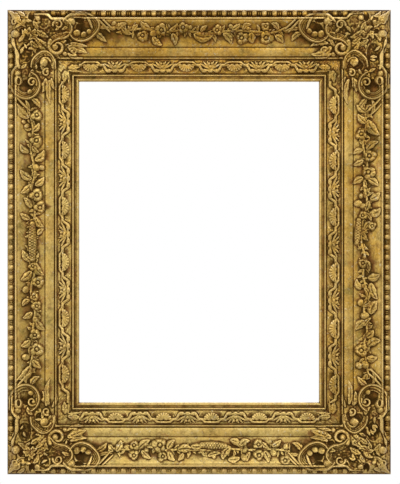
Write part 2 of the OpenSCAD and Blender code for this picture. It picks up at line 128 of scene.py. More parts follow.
def dome(v):
    # Height of a half round at a share of its half width.
    return np.sqrt(np.clip(1 - v * v, 0, 1))


def smoothPath(points):
    # Cubic through the given points, each span blended from its two neighbours' directions.
    points = np.array(points, float)
    steps = 8
    if len(points) == 2:
        return points[0] + np.linspace(0, 1, steps + 1)[:, None] * (points[1] - points[0])
    a = np.vstack([2 * points[0] - points[1], points[:-2]])[:, None]
    b, c = points[:-1, None], points[1:, None]
    d = np.vstack([points[2:], 2 * points[-1] - points[-2]])[:, None]
    t = np.linspace(0, 1, steps, endpoint=False)[None, :, None]
    spans = 0.5 * (2 * b + (c - a) * t + (2 * a - 5 * b + 4 * c - d) * t ** 2
                   + (3 * b - a - 3 * c + d) * t ** 3)
    return np.vstack([spans.reshape(-1, 2), points[-1:]])


def nearestOnPath(p, q, path):
    # Share of the path's length and signed distance from it, at the nearest point of its lines.
    best = np.full(p.shape, 1e9)
    share = np.zeros(p.shape)
    off = np.zeros(p.shape)
    runs = np.linalg.norm(np.diff(path, axis=0), axis=1)
    starts = np.concatenate([[0], np.cumsum(runs)])
    for k, run in enumerate(runs):
        ux, uy = (path[k + 1] - path[k]) / run
        x, y = p - path[k, 0], q - path[k, 1]
        t = np.clip(x * ux + y * uy, 0, run)
        dx, dy = x - t * ux, y - t * uy
        gap = np.hypot(dx, dy)
        closer = gap < best
        best = np.where(closer, gap, best)
        share = np.where(closer, (starts[k] + t) / starts[-1], share)
        off = np.where(closer, np.where(ux * y - uy * x < 0, -gap, gap), off)
    return share, off


def alongPath(carving, path, reach):
    # The points near a path, with each one's share of its length and signed distance from it.
    at = window(carving, path, reach)
    return at, *nearestOnPath(carving["p"][at], carving["q"][at], path)


def offsetsFrom(carving, centre, reach):
    # The points near a centre, with their distances from it along the side and inwards.
    at = window(carving, centre, reach)
    return at, carving["p"][at] - centre[0], carving["q"][at] - centre[1]


def inEllipse(carving, centre, radii, turn=0.0):
    # The points near an ellipse, with the square of each one's share of the way to its edge.
    at, x, y = offsetsFrom(carving, centre, max(radii) * 1.1)
    c, s = math.cos(turn), math.sin(turn)
    return at, ((c * x + s * y) / radii[0]) ** 2 + ((-s * x + c * y) / radii[1]) ** 2


def carveLeaf(carving, root, tip, width, bend, high, lobes, lift=0.0, cut=0.2):
    # A bent spine with half width sin(pi t^0.8) cut by lobes; the blade is a half round over
    # that width, with a groove on the spine and slanting veins.
    root, tip = np.array(root, float), np.array(tip, float)
    run = tip - root
    t = np.linspace(0, 1, 12)[:, None]
    spine = root + t * run + 4 * t * (1 - t) * bend * np.array([[-run[1], run[0]]])
    at, share, off = alongPath(carving, spine, width * 0.7)
    half = 0.5 * width * (0.1 + 0.9 * np.sin(np.pi * share ** 0.8) ** 0.8)
    half = half * (1 - cut * (0.5 - 0.5 * np.cos(2 * np.pi * lobes * share)))
    v = np.abs(off) / half
    blade = high * (0.42 + 0.58 * dome(v))
    vein = np.clip(np.cos(2 * np.pi * (2 * lobes * share - 0.9 * v)), 0, 1) ** 3
    blade = blade - 0.8 * cut * high * vein * smoothStep(0.15, 0.5, v)
    blade = blade - 0.24 * high * np.exp(-(off / (0.09 * width)) ** 2)
    raiseTo(carving, at, v < 1, blade * (1.0 - 0.25 * share) + lift)


def carveSheaf(carving, start, end, width, high):
    # A tied bundle: a half round over an even width, cut by two slanting sets of grooves.
    path = np.array([start, end], float)
    at, share, off = alongPath(carving, path, width)
    v = off / (0.5 * width * (0.72 + 0.28 * np.sin(np.pi * share)))
    turns = share * np.linalg.norm(path[1] - path[0]) / 5.0
    lines = np.minimum(*(np.abs(np.sin(np.pi * (turns + s * v))) for s in (0.8, -0.8)))
    body = high * (0.3 + 0.7 * dome(v)) - 1.1 * (1 - smoothStep(0.0, 0.5, lines))
    raiseTo(carving, at, np.abs(v) < 1, body)


def carveBand(carving, points, width, high, hollow=0.3, thin=0.35):
    # A strap along a smooth path: full at its middle and thinner at both ends, with raised
    # edges and a hollow between them.
    at, share, off = alongPath(carving, smoothPath(points), width)
    half = 0.5 * width * (thin + (1 - thin) * np.sin(np.pi * np.clip(share, 0.02, 0.98)) ** 0.5)
    v = np.abs(off) / half
    section = dome(np.clip((v - 0.6) / 0.4, 0, 1)) * (1 - hollow * (1 - np.clip(v / 0.6, 0, 1) ** 2))
    raiseTo(carving, at, v < 1, high * (0.35 + 0.65 * section))


def carveScroll(carving, points, width, high):
    # A rolled edge along a smooth path: round outside its ridge, and inside it a hollow slope
    # with three flutes. The ridge lies at a share of the half width, to the left of the run.
    ridge = -0.45
    at, share, off = alongPath(carving, smoothPath(points), width)
    v = off / (0.5 * width * (0.5 + 0.5 * np.sin(np.pi * np.clip(share, 0.02, 0.98)) ** 0.5))
    outside = np.clip((ridge - v) / (1 + ridge), 0, 1)
    inside = np.clip((v - ridge) / (1 - ridge), 0, 1)
    slope = 0.25 + 0.75 * (1 - inside) ** 1.7 - 0.13 * (0.5 - 0.5 * np.cos(6 * np.pi * inside))
    section = np.where(v < ridge, np.sqrt(1 - 0.9 * outside ** 2), slope)
    raiseTo(carving, at, np.abs(v) < 1, high * section)


def carveBall(carving, centre, radius, high, long=1.0, turn=0.0):
    # A half egg: height sqrt(1 - r^2) over an ellipse.
    at, r2 = inEllipse(carving, centre, (radius * long, radius), turn)
    raiseTo(carving, at, r2 < 1, high * (0.25 + 0.75 * np.sqrt(np.clip(1 - r2, 0, 1))))


def sinkHole(carving, centre, radii, depth):
    # A cupped hollow over an ellipse.
    at, r2 = inEllipse(carving, centre, radii)
    carving["h"][at] -= depth * np.sqrt(np.clip(1 - r2, 0, 1))


def carveFlower(carving, centre, radius, petals, high, turn):
    # Petals are lobes of the edge, radius |cos(n a / 2)|, cupped towards the rim, round a knob
    # with a groove about it.
    knobShare = 0.24
    at, x, y = offsetsFrom(carving, centre, radius * 1.15)
    r, a = np.hypot(x, y) / radius, np.arctan2(y, x) + turn
    lobe = np.abs(np.cos(petals * a / 2)) ** 0.35
    v = r / ((0.8 + 0.2 * lobe) * (1 + 0.14 * np.sin(a + 2 * turn) + 0.1 * np.sin(3 * a + turn)))
    petal = high * (0.4 + 0.3 * lobe + 0.3 * np.sin(np.pi * np.clip(v, 0, 1) ** 1.3))
    petal = petal * np.sqrt(np.clip(1 - np.clip(v, 0, 1) ** 6, 0, 1))
    petal = petal - 0.22 * high * np.exp(-((r - 0.3) / 0.09) ** 2)
    knob = high * (0.65 + 0.3 * dome(r / knobShare))
    raiseTo(carving, at, v < 1, np.where(r < knobShare, knob, petal))


def carveVolute(carving, centre, outer, inner, start, sweep, width, high):
    # A strap whose distance from the centre shrinks evenly as it turns, ending in a ball.
    t = np.linspace(0, 1, 22)
    a = math.radians(start) + math.radians(sweep) * t
    r = outer + (inner - outer) * t ** 0.8
    path = np.stack([centre[0] + r * np.cos(a), centre[1] + r * np.sin(a)], -1)
    at, share, off = alongPath(carving, path, width)
    v = np.abs(off) / (0.5 * width * (1 - 0.45 * share))
    raiseTo(carving, at, v < 1, high * (0.4 + 0.6 * dome(v)) * (1 - 0.15 * share))
    carveBall(carving, path[-1], 0.75 * width, high * 1.1)


def carveShell(carving, base, radius, stretch):
    # A fan opening inwards from its base: flutes |sin(n a)| up to a scalloped rim.
    spread, flutes, high, rim = math.radians(186), 9, 4.4, 0.05
    at, x, y = offsetsFrom(carving, base, radius * 1.4)
    x = x / stretch
    a = (np.arctan2(y, x) - math.radians(90) + np.pi) % (2 * np.pi) - np.pi
    u = a / spread + 0.5
    flute = np.abs(np.sin(np.pi * flutes * u))
    v = np.hypot(x, y) / (radius * (1 - rim + rim * flute ** 0.7))
    fan = high * (0.35 + 0.3 * flute ** 0.6 + 0.35 * np.sin(np.pi * np.clip(v, 0, 1) ** 0.8))
    raiseTo(carving, at, (v < 1) & (u > 0) & (u < 1), fan)


def ahead(start, size, heading):
    return start[0] + size * math.cos(heading), start[1] + size * math.sin(heading)


# Places of the garlands are columns and rows of the photograph, which is 400 by 484, read off it.
# Each is photoScale mm wide.
photoScale = 1.849
photoMiddle = (199.1, 242.1)


def fromPhoto(side, column, row):
    # A place of the photograph as (clockwise run, distance in) on one side of the frame.
    x = (column - photoMiddle[0]) * photoScale
    z = (photoMiddle[1] - row) * photoScale
    return [x, -z, -x, z][side], halfAcross(side) - [z, x, -z, -x][side]


# Leaves and bundles are (root x, root y, tip x, tip y, width), flowers and balls (x, y, radius).
sprayCarving = {
    "top": {
        "stem": [
            (112, 27), (128, 30), (146, 29), (160, 33), (176, 31), (192, 32), (208, 34), (222, 32),
            (240, 31), (256, 32), (272, 33), (286, 28)],
        "leaves": [
            (118, 30, 127, 24, 4), (122, 27, 132, 34, 4), (150, 29, 141, 22, 5), (153, 37, 162, 45, 5),
            (172, 34, 175, 45, 5), (194, 34, 213, 35, 7), (223, 34, 231, 44, 5), (232, 30, 240, 24, 4),
            (243, 30, 251, 25, 4), (252, 33, 253, 43, 6), (275, 36, 283, 43, 5), (278, 30, 271, 24, 4),
            (133, 31, 138, 25, 4), (169, 31, 176, 25, 3.5), (201, 32, 207, 26, 3.5)],
        "flowers": [
            (142.5, 35.5, 5), (161.5, 30.5, 5.5), (183, 28, 5), (217, 30.5, 4.5), (241.5, 38, 5.5),
            (266, 38, 6), (265.5, 26.5, 4)],
        "balls": [
            (114, 24, 2.5), (114, 28.5, 2), (127, 32, 3), (153.5, 33.5, 3.5), (190, 28, 2.5),
            (231, 27, 2.5), (248, 29, 2.2)],
        "bundle": []},
    "right": {
        "stem": [
            (364, 104), (366, 125), (363, 145), (367, 165), (364, 185), (367, 203), (363, 222),
            (361, 240), (365, 258), (363, 275), (367, 293), (364, 310), (367, 330), (364, 345),
            (366, 362), (369, 378)],
        "leaves": [
            (366, 112, 357, 102, 5), (364, 112, 370, 101, 4.5), (366, 123, 358, 114, 5),
            (368, 120, 379, 135, 7), (367, 150, 378, 142, 5), (363, 150, 353, 154, 4.5),
            (363, 160, 353, 165, 4.5), (363, 178, 353, 184, 5), (368, 179, 378, 186, 5),
            (370, 199, 379, 192, 5.5), (368, 201, 365, 211, 4.5), (369, 214, 380, 208, 6),
            (364, 213, 371, 221, 3.5), (370, 222, 364, 230, 4), (365, 260, 369, 271, 4),
            (368, 277, 379, 274, 6), (361, 289, 357, 279, 4.5), (371, 283, 377, 299, 6),
            (364, 288, 368, 300, 4), (363, 306, 370, 301, 3), (371, 314, 377, 301, 7),
            (364, 321, 356, 330, 6), (364, 326, 371, 318, 3.5), (366, 337, 373, 330, 5),
            (368, 346, 380, 341, 6), (367, 357, 377, 357, 5), (366, 374, 361, 386, 5)],
        "flowers": [
            (361, 134, 5), (369, 156, 5.5), (368, 172, 6), (362.5, 215.5, 4), (372, 226, 4),
            (362.5, 263, 4.5), (361, 350.5, 6)],
        "balls": [
            (358, 203.5, 3.8), (363, 206, 3), (360.5, 302.5, 3.2), (365, 316, 4), (367, 349, 3),
            (359, 365.5, 3.5), (365, 364.5, 3.8), (361, 196, 2.5)],
        "bundle": [(359, 220, 357, 243, 7)]},
    "bottom": {
        "stem": [
            (104, 446), (118, 449), (134, 449), (150, 447), (166, 450), (182, 449), (200, 450),
            (216, 450), (232, 449), (250, 450), (266, 449), (282, 450), (296, 452)],
        "leaves": [
            (113, 451, 104, 441, 5), (116, 451, 121, 440, 5), (139, 448, 150, 440, 5.5),
            (142, 450, 151, 458, 4.5), (168, 449, 175, 440, 5), (169, 451, 175, 460, 5),
            (178, 450, 193, 450, 6), (191, 446, 203, 444, 5), (208, 456, 221, 453, 4),
            (231, 447, 223, 459, 6.5), (230, 440, 240, 447, 5), (228, 459, 240, 457, 5),
            (240, 446, 250, 441, 5), (262, 442, 269, 448, 4), (264, 451, 268, 462, 5),
            (272, 446, 281, 440, 4.5), (291, 451, 297, 460, 5), (289, 449, 294, 440, 5),
            (183, 453, 178, 460, 4), (250, 452, 247, 461, 4)],
        "flowers": [
            (134, 445, 4.5), (160, 445, 6.5), (134, 455, 4.5), (163, 456, 4.5), (258.5, 444.5, 4.5),
            (259, 455, 5), (285, 460, 5)],
        "balls": [
            (127, 447, 2.8), (146, 450, 2.8), (245, 450, 3), (244, 457, 3.5), (273.5, 452.5, 3.6),
            (286, 447, 3.2), (214, 456, 2.4)],
        "bundle": [(225, 446, 202, 445, 8)]},
    "left": {
        "stem": [
            (28, 108), (33, 128), (31, 150), (35, 172), (31, 192), (35, 212), (32, 232), (32, 252),
            (35, 270), (31, 290), (35, 312), (32, 335), (33, 352), (28, 376)],
        "leaves": [
            (29, 118, 18, 104, 6), (33, 131, 39, 123, 4.5), (29, 152, 21, 144, 4.5),
            (35, 160, 44, 150, 6), (32, 179, 21, 170, 5.5), (35, 185, 44, 177, 5), (31, 184, 21, 193, 5),
            (31, 208, 24, 198, 5), (30, 219, 21, 213, 4.5), (36, 217, 44, 227, 5), (31, 261, 23, 250, 5),
            (36, 263, 44, 275, 5.5), (31, 271, 21, 280, 5.5), (30, 300, 23, 306, 4),
            (32, 312, 23, 318, 4.5), (37, 321, 45, 330, 5), (30, 340, 21, 346, 5), (33, 360, 41, 368, 5),
            (30, 366, 19, 380, 6.5), (33, 146, 39, 152, 4), (38, 235, 44, 229, 4)],
        "flowers": [
            (37, 115, 5), (36.5, 140.5, 5.5), (37, 195, 6), (40, 207.5, 5.5), (33, 266, 4),
            (38, 282.5, 5.5), (34, 297, 4), (37, 306, 4.5), (35, 335, 5), (37, 349, 6)],
        "balls": [
            (24, 122, 2.2), (27, 126, 2.5), (36, 167.5, 3.6), (42, 167.5, 3), (26, 289.5, 3.4),
            (36, 320, 3.5), (26, 357, 3.5), (30, 135, 2.2)],
        "bundle": [(32.5, 224, 32.5, 259, 8.5)]}}

sprayCell = 0.66
sprayReach = [168.0, 254.0]    # mm each way from the middle of the short and of the long sides
sprayBetween = (19.8, 70.0)    # distance in from the outer edge
leafHigh, flowerHigh, berryHigh, sheafHigh = 5.4, 5.8, 4.8, 6.4
leafBroad, flowerBroad, berryBroad = 1.5, 1.2, 0.95    # over the sizes read from the photograph
stemWide, stemHigh = 4.4, 3.2
bedStep, bedSpread = 4.6, 7.5   # mm between the small leaves under a garland, and their spread
carvedFrom = 0.35               # a sheet is kept where the carving rises higher than this


def carveBed(carving, stem):
    # Small leaves at slanting headings on both sides of a stem, under the larger forms.
    path = smoothPath(stem)
    runs = np.concatenate([[0], np.cumsum(np.linalg.norm(np.diff(path, axis=0), axis=1))])
    for k, run in enumerate(np.arange(3, runs[-1] - 3, bedStep)):
        x, y = np.interp(run, runs, path[:, 0]), np.interp(run, runs, path[:, 1])
        heading = rng.uniform(0.3, 1.5) * (1 if k % 2 else -1) + (math.pi if rng.random() < 0.4 else 0)
        start = (x, y + rng.uniform(-0.3, 0.3) * bedSpread)
        tip = ahead(start, rng.uniform(9, 15), heading)
        width, bend, high = rng.uniform(5.0, 7.5), rng.uniform(-0.2, 0.2), rng.uniform(2.4, 3.6)
        carveLeaf(carving, start, tip, width, bend, high, 2)


def sprayField(side):
    reach = sprayReach[side % 2]
    along = np.arange(-reach, reach, sprayCell)
    p, q = np.meshgrid(along, np.arange(*sprayBetween, sprayCell), indexing="ij")
    carving = newCarving(p, q)
    carved = sprayCarving[sideNames[side]]
    stem = [fromPhoto(side, *place) for place in carved["stem"]]
    carveBed(carving, stem)
    carveBand(carving, stem, stemWide, stemHigh, hollow=0.0, thin=0.8)
    for k, (x0, y0, x1, y1, width) in enumerate(carved["leaves"]):
        bend = rng.uniform(0.06, 0.2) * (1 if k % 2 else -1)
        carveLeaf(carving, fromPhoto(side, x0, y0), fromPhoto(side, x1, y1),
                  width * photoScale * leafBroad, bend, leafHigh, 2, cut=0.1)
    for x, y, radius in carved["flowers"]:
        carveFlower(carving, fromPhoto(side, x, y), radius * photoScale * flowerBroad,
                    int(rng.integers(4, 6)), flowerHigh, rng.uniform(0, 6))
    for x, y, radius in carved["balls"]:
        carveBall(carving, fromPhoto(side, x, y), radius * photoScale * berryBroad, berryHigh, 1.2,
                  rng.uniform(0, 3))
    for x0, y0, x1, y1, width in carved["bundle"]:
        carveSheaf(carving, fromPhoto(side, x0, y0), fromPhoto(side, x1, y1), width * photoScale,
                   sheafHigh)
    height = ground(q) + carving["h"] + unevenness(p.shape, sprayCell, 3.4, 0.26)
    return p, q, height, carving["h"] > carvedFrom


# The two arms of a corner. A place is (mm from the corner along one edge, mm in from the other).
# Holes, dishes and eyes are (place, radii, depth), leaves (root, tip, width), scrolls and bands
# (places, width, height), volutes (centre, outer and inner radius, first heading, sweep, width,
# height) and balls (place, radius, height).
armAcross = {
    "holes": [
        ((146, 37), (19, 14), 8), ((134, 19), (10, 8), 7), ((47, 15), (6, 9), 8), ((180, 26), (9, 7), 3),
        ((88, 72), (9, 8), 3), ((112, 60), (7, 5), 4), ((62, 50), (7, 6), 3)],
    "dishes": [((70, 25), (9, 12), 3.0), ((134, 70), (13, 7), 1.5), ((84, 38), (12, 6), 1.6)],
    "leaves": [
        ((112, 70), (148, 82), 17), ((118, 64), (150, 69), 11), ((112, 82), (142, 91), 9),
        ((166, 44), (184, 60), 12), ((168, 36), (196, 40), 8), ((56, 40), (76, 52), 12),
        ((62, 56), (74, 74), 11), ((50, 24), (58, 40), 10), ((104, 44), (124, 40), 9),
        ((76, 86), (98, 91), 8), ((34, 13), (20, 5), 8)],
    "scrolls": [
        ([(108, 23), (116, 16), (126, 12), (140, 11.5), (153, 15), (162, 21), (167, 29), (165, 38),
          (157, 47), (148, 53.5), (136, 56.5), (125, 52.5), (119, 46)], 14.0, 7.4),
        ([(112, 25), (118, 34), (116, 44), (107, 50.5), (95, 53), (86, 58), (80, 66)], 13.0, 7.0)],
    "bands": [
        ([(53, 9), (70, 8.5), (79, 12), (84, 17), (95, 18), (108, 17.5)], 6.2, 5.4),
        ([(147, 14), (153, 23), (158, 36)], 5.2, 5.6), ([(166, 18), (178, 30), (190, 43)], 4.4, 4.6),
        ([(174, 16), (186, 28), (197, 38)], 4.0, 4.0)],
    "volutes": [
        ((94, 70), 17, 4.5, 221, -400, 8.4, 6.8), ((95, 29), 10, 3, 175, 400, 5.0, 5.0),
        ((124, 77), 7.5, 3, 200, 340, 4.6, 4.8), ((16, 24), 7.0, 2.5, 300, -330, 4.4, 4.6)],
    "balls": [
        ((118, 24), 7.6, 6.4), ((130, 46), 6.4, 5.6), ((142, 47), 5.8, 5.2), ((152, 42), 5.4, 5.0),
        ((107, 83), 4.2, 4.6), ((126, 85), 4.4, 4.6), ((58, 17), 5.0, 5.2), ((32, 24), 4.0, 4.4)],
    "eyes": [((95, 29), (4.5, 2.6), 3.0)]}
armUpright = {
    "holes": [
        ((148, 37), (18, 13), 8), ((42, 28), (6, 5), 4), ((180, 28), (9, 7), 3), ((106, 62), (9, 9), 4),
        ((62, 48), (6, 6), 3)],
    "dishes": [((81, 35), (18, 12), 4.2), ((110, 80), (8, 6), 1.5)],
    "leaves": [
        ((128, 72), (154, 66), 12), ((130, 78), (176, 80), 12), ((126, 84), (150, 91), 8),
        ((166, 46), (182, 62), 12), ((168, 36), (196, 38), 8), ((58, 44), (70, 60), 11),
        ((52, 54), (66, 72), 10), ((60, 22), (46, 34), 9), ((22, 18), (34, 34), 9),
        ((112, 48), (126, 40), 9)],
    "scrolls": [
        ([(108, 23), (113, 15), (121, 11), (131, 10), (144, 11.5), (155, 18), (162, 30), (161, 43),
          (152, 53), (140, 56.5), (128, 53), (121, 46)], 14.0, 7.4),
        ([(108, 87), (95, 84.5), (86, 79), (81, 70), (84, 62), (89, 56), (96, 50), (106, 47)], 13.0, 7.0)],
    "bands": [
        ([(58, 12), (74, 14), (86, 20), (100, 20), (110, 23)], 7.6, 6.4),
        ([(156, 20), (162, 28), (164, 40)], 4.4, 5.0), ([(164, 20), (176, 31), (188, 44)], 4.4, 4.6),
        ([(172, 17), (185, 28), (196, 40)], 4.0, 4.0)],
    "volutes": [
        ((136, 47), 10, 3.5, 60, 400, 5.4, 5.4), ((118, 73), 7.5, 3, 160, 340, 4.8, 4.8),
        ((98, 70), 11, 5, 100, 260, 4.6, 5.0), ((17, 18), 6.5, 2.5, 30, 330, 4.2, 4.4)],
    "balls": [
        ((47, 17), 7.2, 6.6), ((98, 69), 7.4, 6.8), ((120, 22), 5.4, 5.2), ((133, 22), 8.2, 6.4),
        ((153, 44), 5.0, 4.8), ((140, 68), 4.0, 4.4), ((28, 30), 4.0, 4.2)],
    "eyes": [((134, 23), (6.5, 3.2), 4.5)]}
cornerOffset = 1.2          # these places were read from an edge this far outside the frame's
cornerCell = 0.8
cornerSpan = 199.0
cornerInner = 93.2          # a corner's carving ends this far in from both edges
cornerTop = 40.7            # highest point over the moulding's back
cornerLeafHigh = 5.0
bareBetween = (17, 88)      # small leaves are set this far in from the nearer edge
jitter = 1.1                # mm that a place moves from one corner to the next


def corneringBase(p, q, corner):
    # Height of the ground that the corner carving stands on: the moulding, lifted to the fuller
    # corner face by a mask that fades along both arms. The face's steep outer edge steps out
    # where the scrolls swell over the pearls.
    along, d = np.maximum(p, q), np.minimum(p, q)
    across = (p > q) == (corner % 2 == 0)
    scroll = smoothStep(104, 118, along) * (1 - smoothStep(160, 172, along))
    early = np.where(across, 1 - smoothStep(76, 84, along), 1 - smoothStep(60, 76, along))
    shift = 7.0 * np.maximum(scroll, early) * (1 - smoothStep(12, 20, d))
    full = np.interp(d + shift, cornerFace[:, 0], cornerFace[:, 1])
    soft = np.interp(d, [0, 3, 8, 14, 19, 32], [15, 20, 27, 34.3, 34.6, 30.0])
    tip = 1 - smoothStep(38, 62, along)
    full = full + tip * (np.where(d < 32, soft, full) - full)
    fill = 1 - smoothStep(112, 168, along + 0.35 * np.clip(d - 24, 0, 60))
    fill = fill * (1 - smoothStep(80, 93, d) * smoothStep(60, 100, along))
    plain = ground(d)
    return plain + fill * np.maximum(full - plain, 0), fill


def carveArm(carving, arm):
    def near(places):
        return np.array(places, float) + rng.uniform(-jitter, jitter, 2)

    for centre, radii, depth in arm["holes"] + arm["dishes"]:
        sinkHole(carving, near(centre), radii, depth)
    for start, tip, width in arm["leaves"]:
        carveLeaf(carving, near(start), near(tip), width, rng.uniform(-0.2, 0.2), cornerLeafHigh, 3,
                  cut=0.18)
    for points, width, high in arm["scrolls"]:
        carveScroll(carving, near(points), width, high)
    for points, width, high in arm["bands"]:
        carveBand(carving, near(points), width, high, 0.0, 0.5)
    for centre, *sizes in arm["volutes"]:
        carveVolute(carving, near(centre), *sizes)
    for centre, radius, high in arm["balls"]:
        carveBall(carving, near(centre), radius, high, 1.15, rng.uniform(0, 3))
    for centre, radii, depth in arm["eyes"]:
        sinkHole(carving, centre, radii, depth)


def fillBare(carving, count, low, high):
    # Small leaves set into what is still bare between two distances from the corner.
    placed = 0
    for _ in range(40 * count):
        a, b = rng.uniform(low, high, 2)
        turn, size = rng.uniform(0, 2 * math.pi), rng.uniform(9, 15)
        if not bareBetween[0] <= min(a, b) <= bareBetween[1] or placed == count:
            continue
        tip = ahead((a, b), size, turn)
        under = carving["h"][window(carving, ((a + tip[0]) / 2, (b + tip[1]) / 2), 4.0)]
        if under.size and under.mean() < 0.9:
            carveLeaf(carving, (a, b), tip, 0.5 * size, rng.uniform(-0.2, 0.2), 3.6, 2)
            placed += 1


def cornerField(corner):
    steps = np.arange(0.9, cornerSpan, cornerCell)
    p, q = np.meshgrid(steps, steps, indexing="ij")
    arms = [armAcross, armUpright] if corner % 2 == 0 else [armUpright, armAcross]
    carving = newCarving(p + cornerOffset, q + cornerOffset)
    carveArm(carving, arms[0])
    mirrored = newCarving(q + cornerOffset, p + cornerOffset)
    carveArm(mirrored, arms[1])
    first, second = carving["h"], mirrored["h"]
    higher = np.maximum(first, second)
    lower = np.where(first + second < 0, first + second, higher)
    carving["h"] = np.where(np.minimum(first, second) < 0, lower, higher)
    fillBare(carving, 16, 20, 112)
    carveLeaf(carving, (26, 26), (4, 4), 15, 0.06, 4.8, 2, cut=0.3)
    carveLeaf(carving, (60, 60), (88, 88), 20, 0.0, 5.4, 4, cut=0.3)
    carveLeaf(carving, (57, 62), (72, 88), 10, -0.1, 4.8, 3)
    carveLeaf(carving, (62, 57), (88, 72), 10, 0.1, 4.8, 3)
    star, starLeaves = (45, 45), 7
    for k in range(starLeaves):
        heading = 2 * math.pi * (k + 0.5 * rng.random()) / starLeaves
        tip = ahead(star, rng.uniform(9, 16), heading)
        carveLeaf(carving, star, tip, 9.0, rng.uniform(-0.35, 0.35), 4.6, 2, 1.2, 0.12)
    base, fill = corneringBase(p, q, corner)
    carved = carving["h"] + fill * unevenness(p.shape, cornerCell, 3.6, 0.32)
    keep = ((fill > 0.03) | (carving["h"] > carvedFrom)) & (np.minimum(p, q) < cornerInner)
    return p, q, np.minimum(base + carved, cornerTop), keep


# The strap band: a strap that steps across its band, over shells and under fans of reeds. In mm:
# distances in, the length of the steps' wave and its first shell on each side, and how far from
# the ends of the side the strap stops and its shells and reeds keep clear of that.
strap = {"cell": 0.68, "sunk": 11.0, "middle": 105.2, "outer": 97.0, "bar": 102.0, "inner": 112.3,
         "width": 5.6, "high": 3.6, "wave": [88.5, 103.5], "first": [-23.3, -46.8, -22.9, -37.0],
         "stop": 132.0, "clear": 6.0, "from": 93.6, "to": 116.9, "lip": 10.7, "top": 15.6,
         "berryPair": 99.0, "berry": 105.0}


def strapField(side):
    wave, first = strap["wave"][side % 2], strap["first"][side]
    stretch = wave / strap["wave"][1]
    half = halfAlong(side)
    across = np.linspace(strap["from"], strap["to"], 36)
    share = np.linspace(-1, 1, int(2 * (half - 105) / strap["cell"]))
    p = share[:, None] * (half - across[None, :])
    q = np.broadcast_to(across, p.shape).copy()
    carving = newCarving(p, q)
    end = half - strap["stop"]
    x = np.linspace(-end, end, 520)
    phase = np.abs((x - first + wave / 2) % wave - wave / 2) / (wave / 2)
    line = strap["outer"] + (strap["bar"] - strap["outer"]) * smoothStep(0.24, 0.41, phase)
    line += (strap["inner"] - strap["bar"]) * smoothStep(0.49, 0.7, phase)
    carveStrap(carving, x, line)
    for k in range(-5, 6):
        at = first + k * wave
        for carve, at in ((carveMedallion, at), (carveReeds, at + wave / 2)):
            if abs(at) < end - strap["clear"]:
                carve(carving, at, stretch)
    for s in (-1, 1):
        carveLeaf(carving, (s * (half - 112), 107), (s * (end - 2), 105), 13, 0, 3.2, 3)
        carveLeaf(carving, (s * (half - 112), 112), (s * (end - 6), 114), 5, 0, 2.6, 2)
    bowl = strap["sunk"] + 0.9 * np.cos(np.pi * (q - strap["middle"]) / 25)
    edge = smoothStep(93.5, 95.2, q) * (1 - smoothStep(115.4, 117, q))
    carved = carving["h"] + unevenness(p.shape, strap["cell"], 3.2, 0.22)
    height = strap["lip"] + (bowl - strap["lip"]) * edge + carved * edge
    return p, q, np.minimum(height, strap["top"])


def carveStrap(carving, x, line):
    # The strap: a flattened round along a path whose distance in is a function of the run.
    p, q = carving["p"], carving["q"]
    slope = np.interp(p, x, np.gradient(line, x))
    v = np.abs((q - np.interp(p, x, line)) / np.sqrt(1 + slope ** 2)) / (0.5 * strap["width"])
    raised = strap["high"] * (0.4 + 0.6 * np.sqrt(np.clip(1 - v ** 3, 0, 1)))
    raiseTo(carving, np.s_[:], (v < 1) & (np.abs(p) < x[-1]), raised)


def carveMedallion(carving, at, stretch):
    # A ribbed shell domed inwards from the strap, whose edge below it is scalloped.
    base = strap["outer"] + 3.5
    sinkHole(carving, (at, base + 7), (25 * stretch, 11), 2.6)
    carveShell(carving, (at, base), 14.2, 1.25 * stretch)
    for off in (-10, 0, 10):
        sinkHole(carving, (at + off * stretch, base - 0.4), (2.6, 1.7), 2.2)


def carveReeds(carving, at, stretch):
    # Reeds fanned outwards from under a scalloped turn of the strap, with three berries.
    inner = strap["inner"]
    for turn, long in ((-64, 25), (-46, 21), (-24, 17), (24, 17), (46, 21), (64, 25)):
        c, s = math.cos(math.radians(turn)), math.sin(math.radians(turn)) * stretch
        root = (at + 0.16 * long * s, inner - 2.0 - 0.16 * long * c)
        carveBand(carving, [root, (at + long * s, inner - 2.0 - long * c)], 3.6, 3.0)
    for off in (-2.9, 2.9):
        carveBall(carving, (at + off, strap["berryPair"]), 2.9, 4.0)
    carveBall(carving, (at, strap["berry"]), 3.2, 4.0, 1.2)
    for off in (-13.0, 0, 13.0):
        carveBall(carving, (at + off * stretch, inner + 0.5), 4.4, 4.4, 1.45 * stretch)
    for off in (-6.5, 6.5):
        sinkHole(carving, (at + off * stretch, inner + 3.4), (1.9, 2.6), 3.0)


sprays = [sprayField(side) for side in range(4)]
corners = [cornerField(corner) for corner in range(4)]
straps = [strapField(side) for side in range(4)]
print("carving worked out")


# A coarse picture of the whole front as heights, one cell a millimetre, tells every point how
# deep it lies among its neighbours. Hollows are darkened as grime and as painted shade; high places are
# brightened as wear.
canvasMargin = 12
canvasShape = (int(wide) + 2 * canvasMargin, int(tall) + 2 * canvasMargin)
openingLevel, outsideLevel = 3.0, 9.0
wholeFace = np.vstack([mouldingFace, slipFace])


def canvasIndex(points):
    column = points[..., 0] / mm + wide / 2 + canvasMargin
    row = points[..., 2] / mm + tall / 2 + canvasMargin
    return (np.clip(np.rint(column), 0, canvasShape[0] - 1).astype(int),
            np.clip(np.rint(row), 0, canvasShape[1] - 1).astype(int))


def newCanvas():
    x = np.arange(canvasShape[0]) - canvasMargin
    z = np.arange(canvasShape[1]) - canvasMargin
    inX, inZ = np.minimum(x, wide - x), np.minimum(z, tall - z)
    d = np.minimum(inX[:, None], inZ[None, :])
    level = np.interp(d, wholeFace[:, 0], wholeFace[:, 1])
    return np.where(d < 0, outsideLevel, np.where(d > slipEnd, openingLevel, level))


canvas = newCanvas()


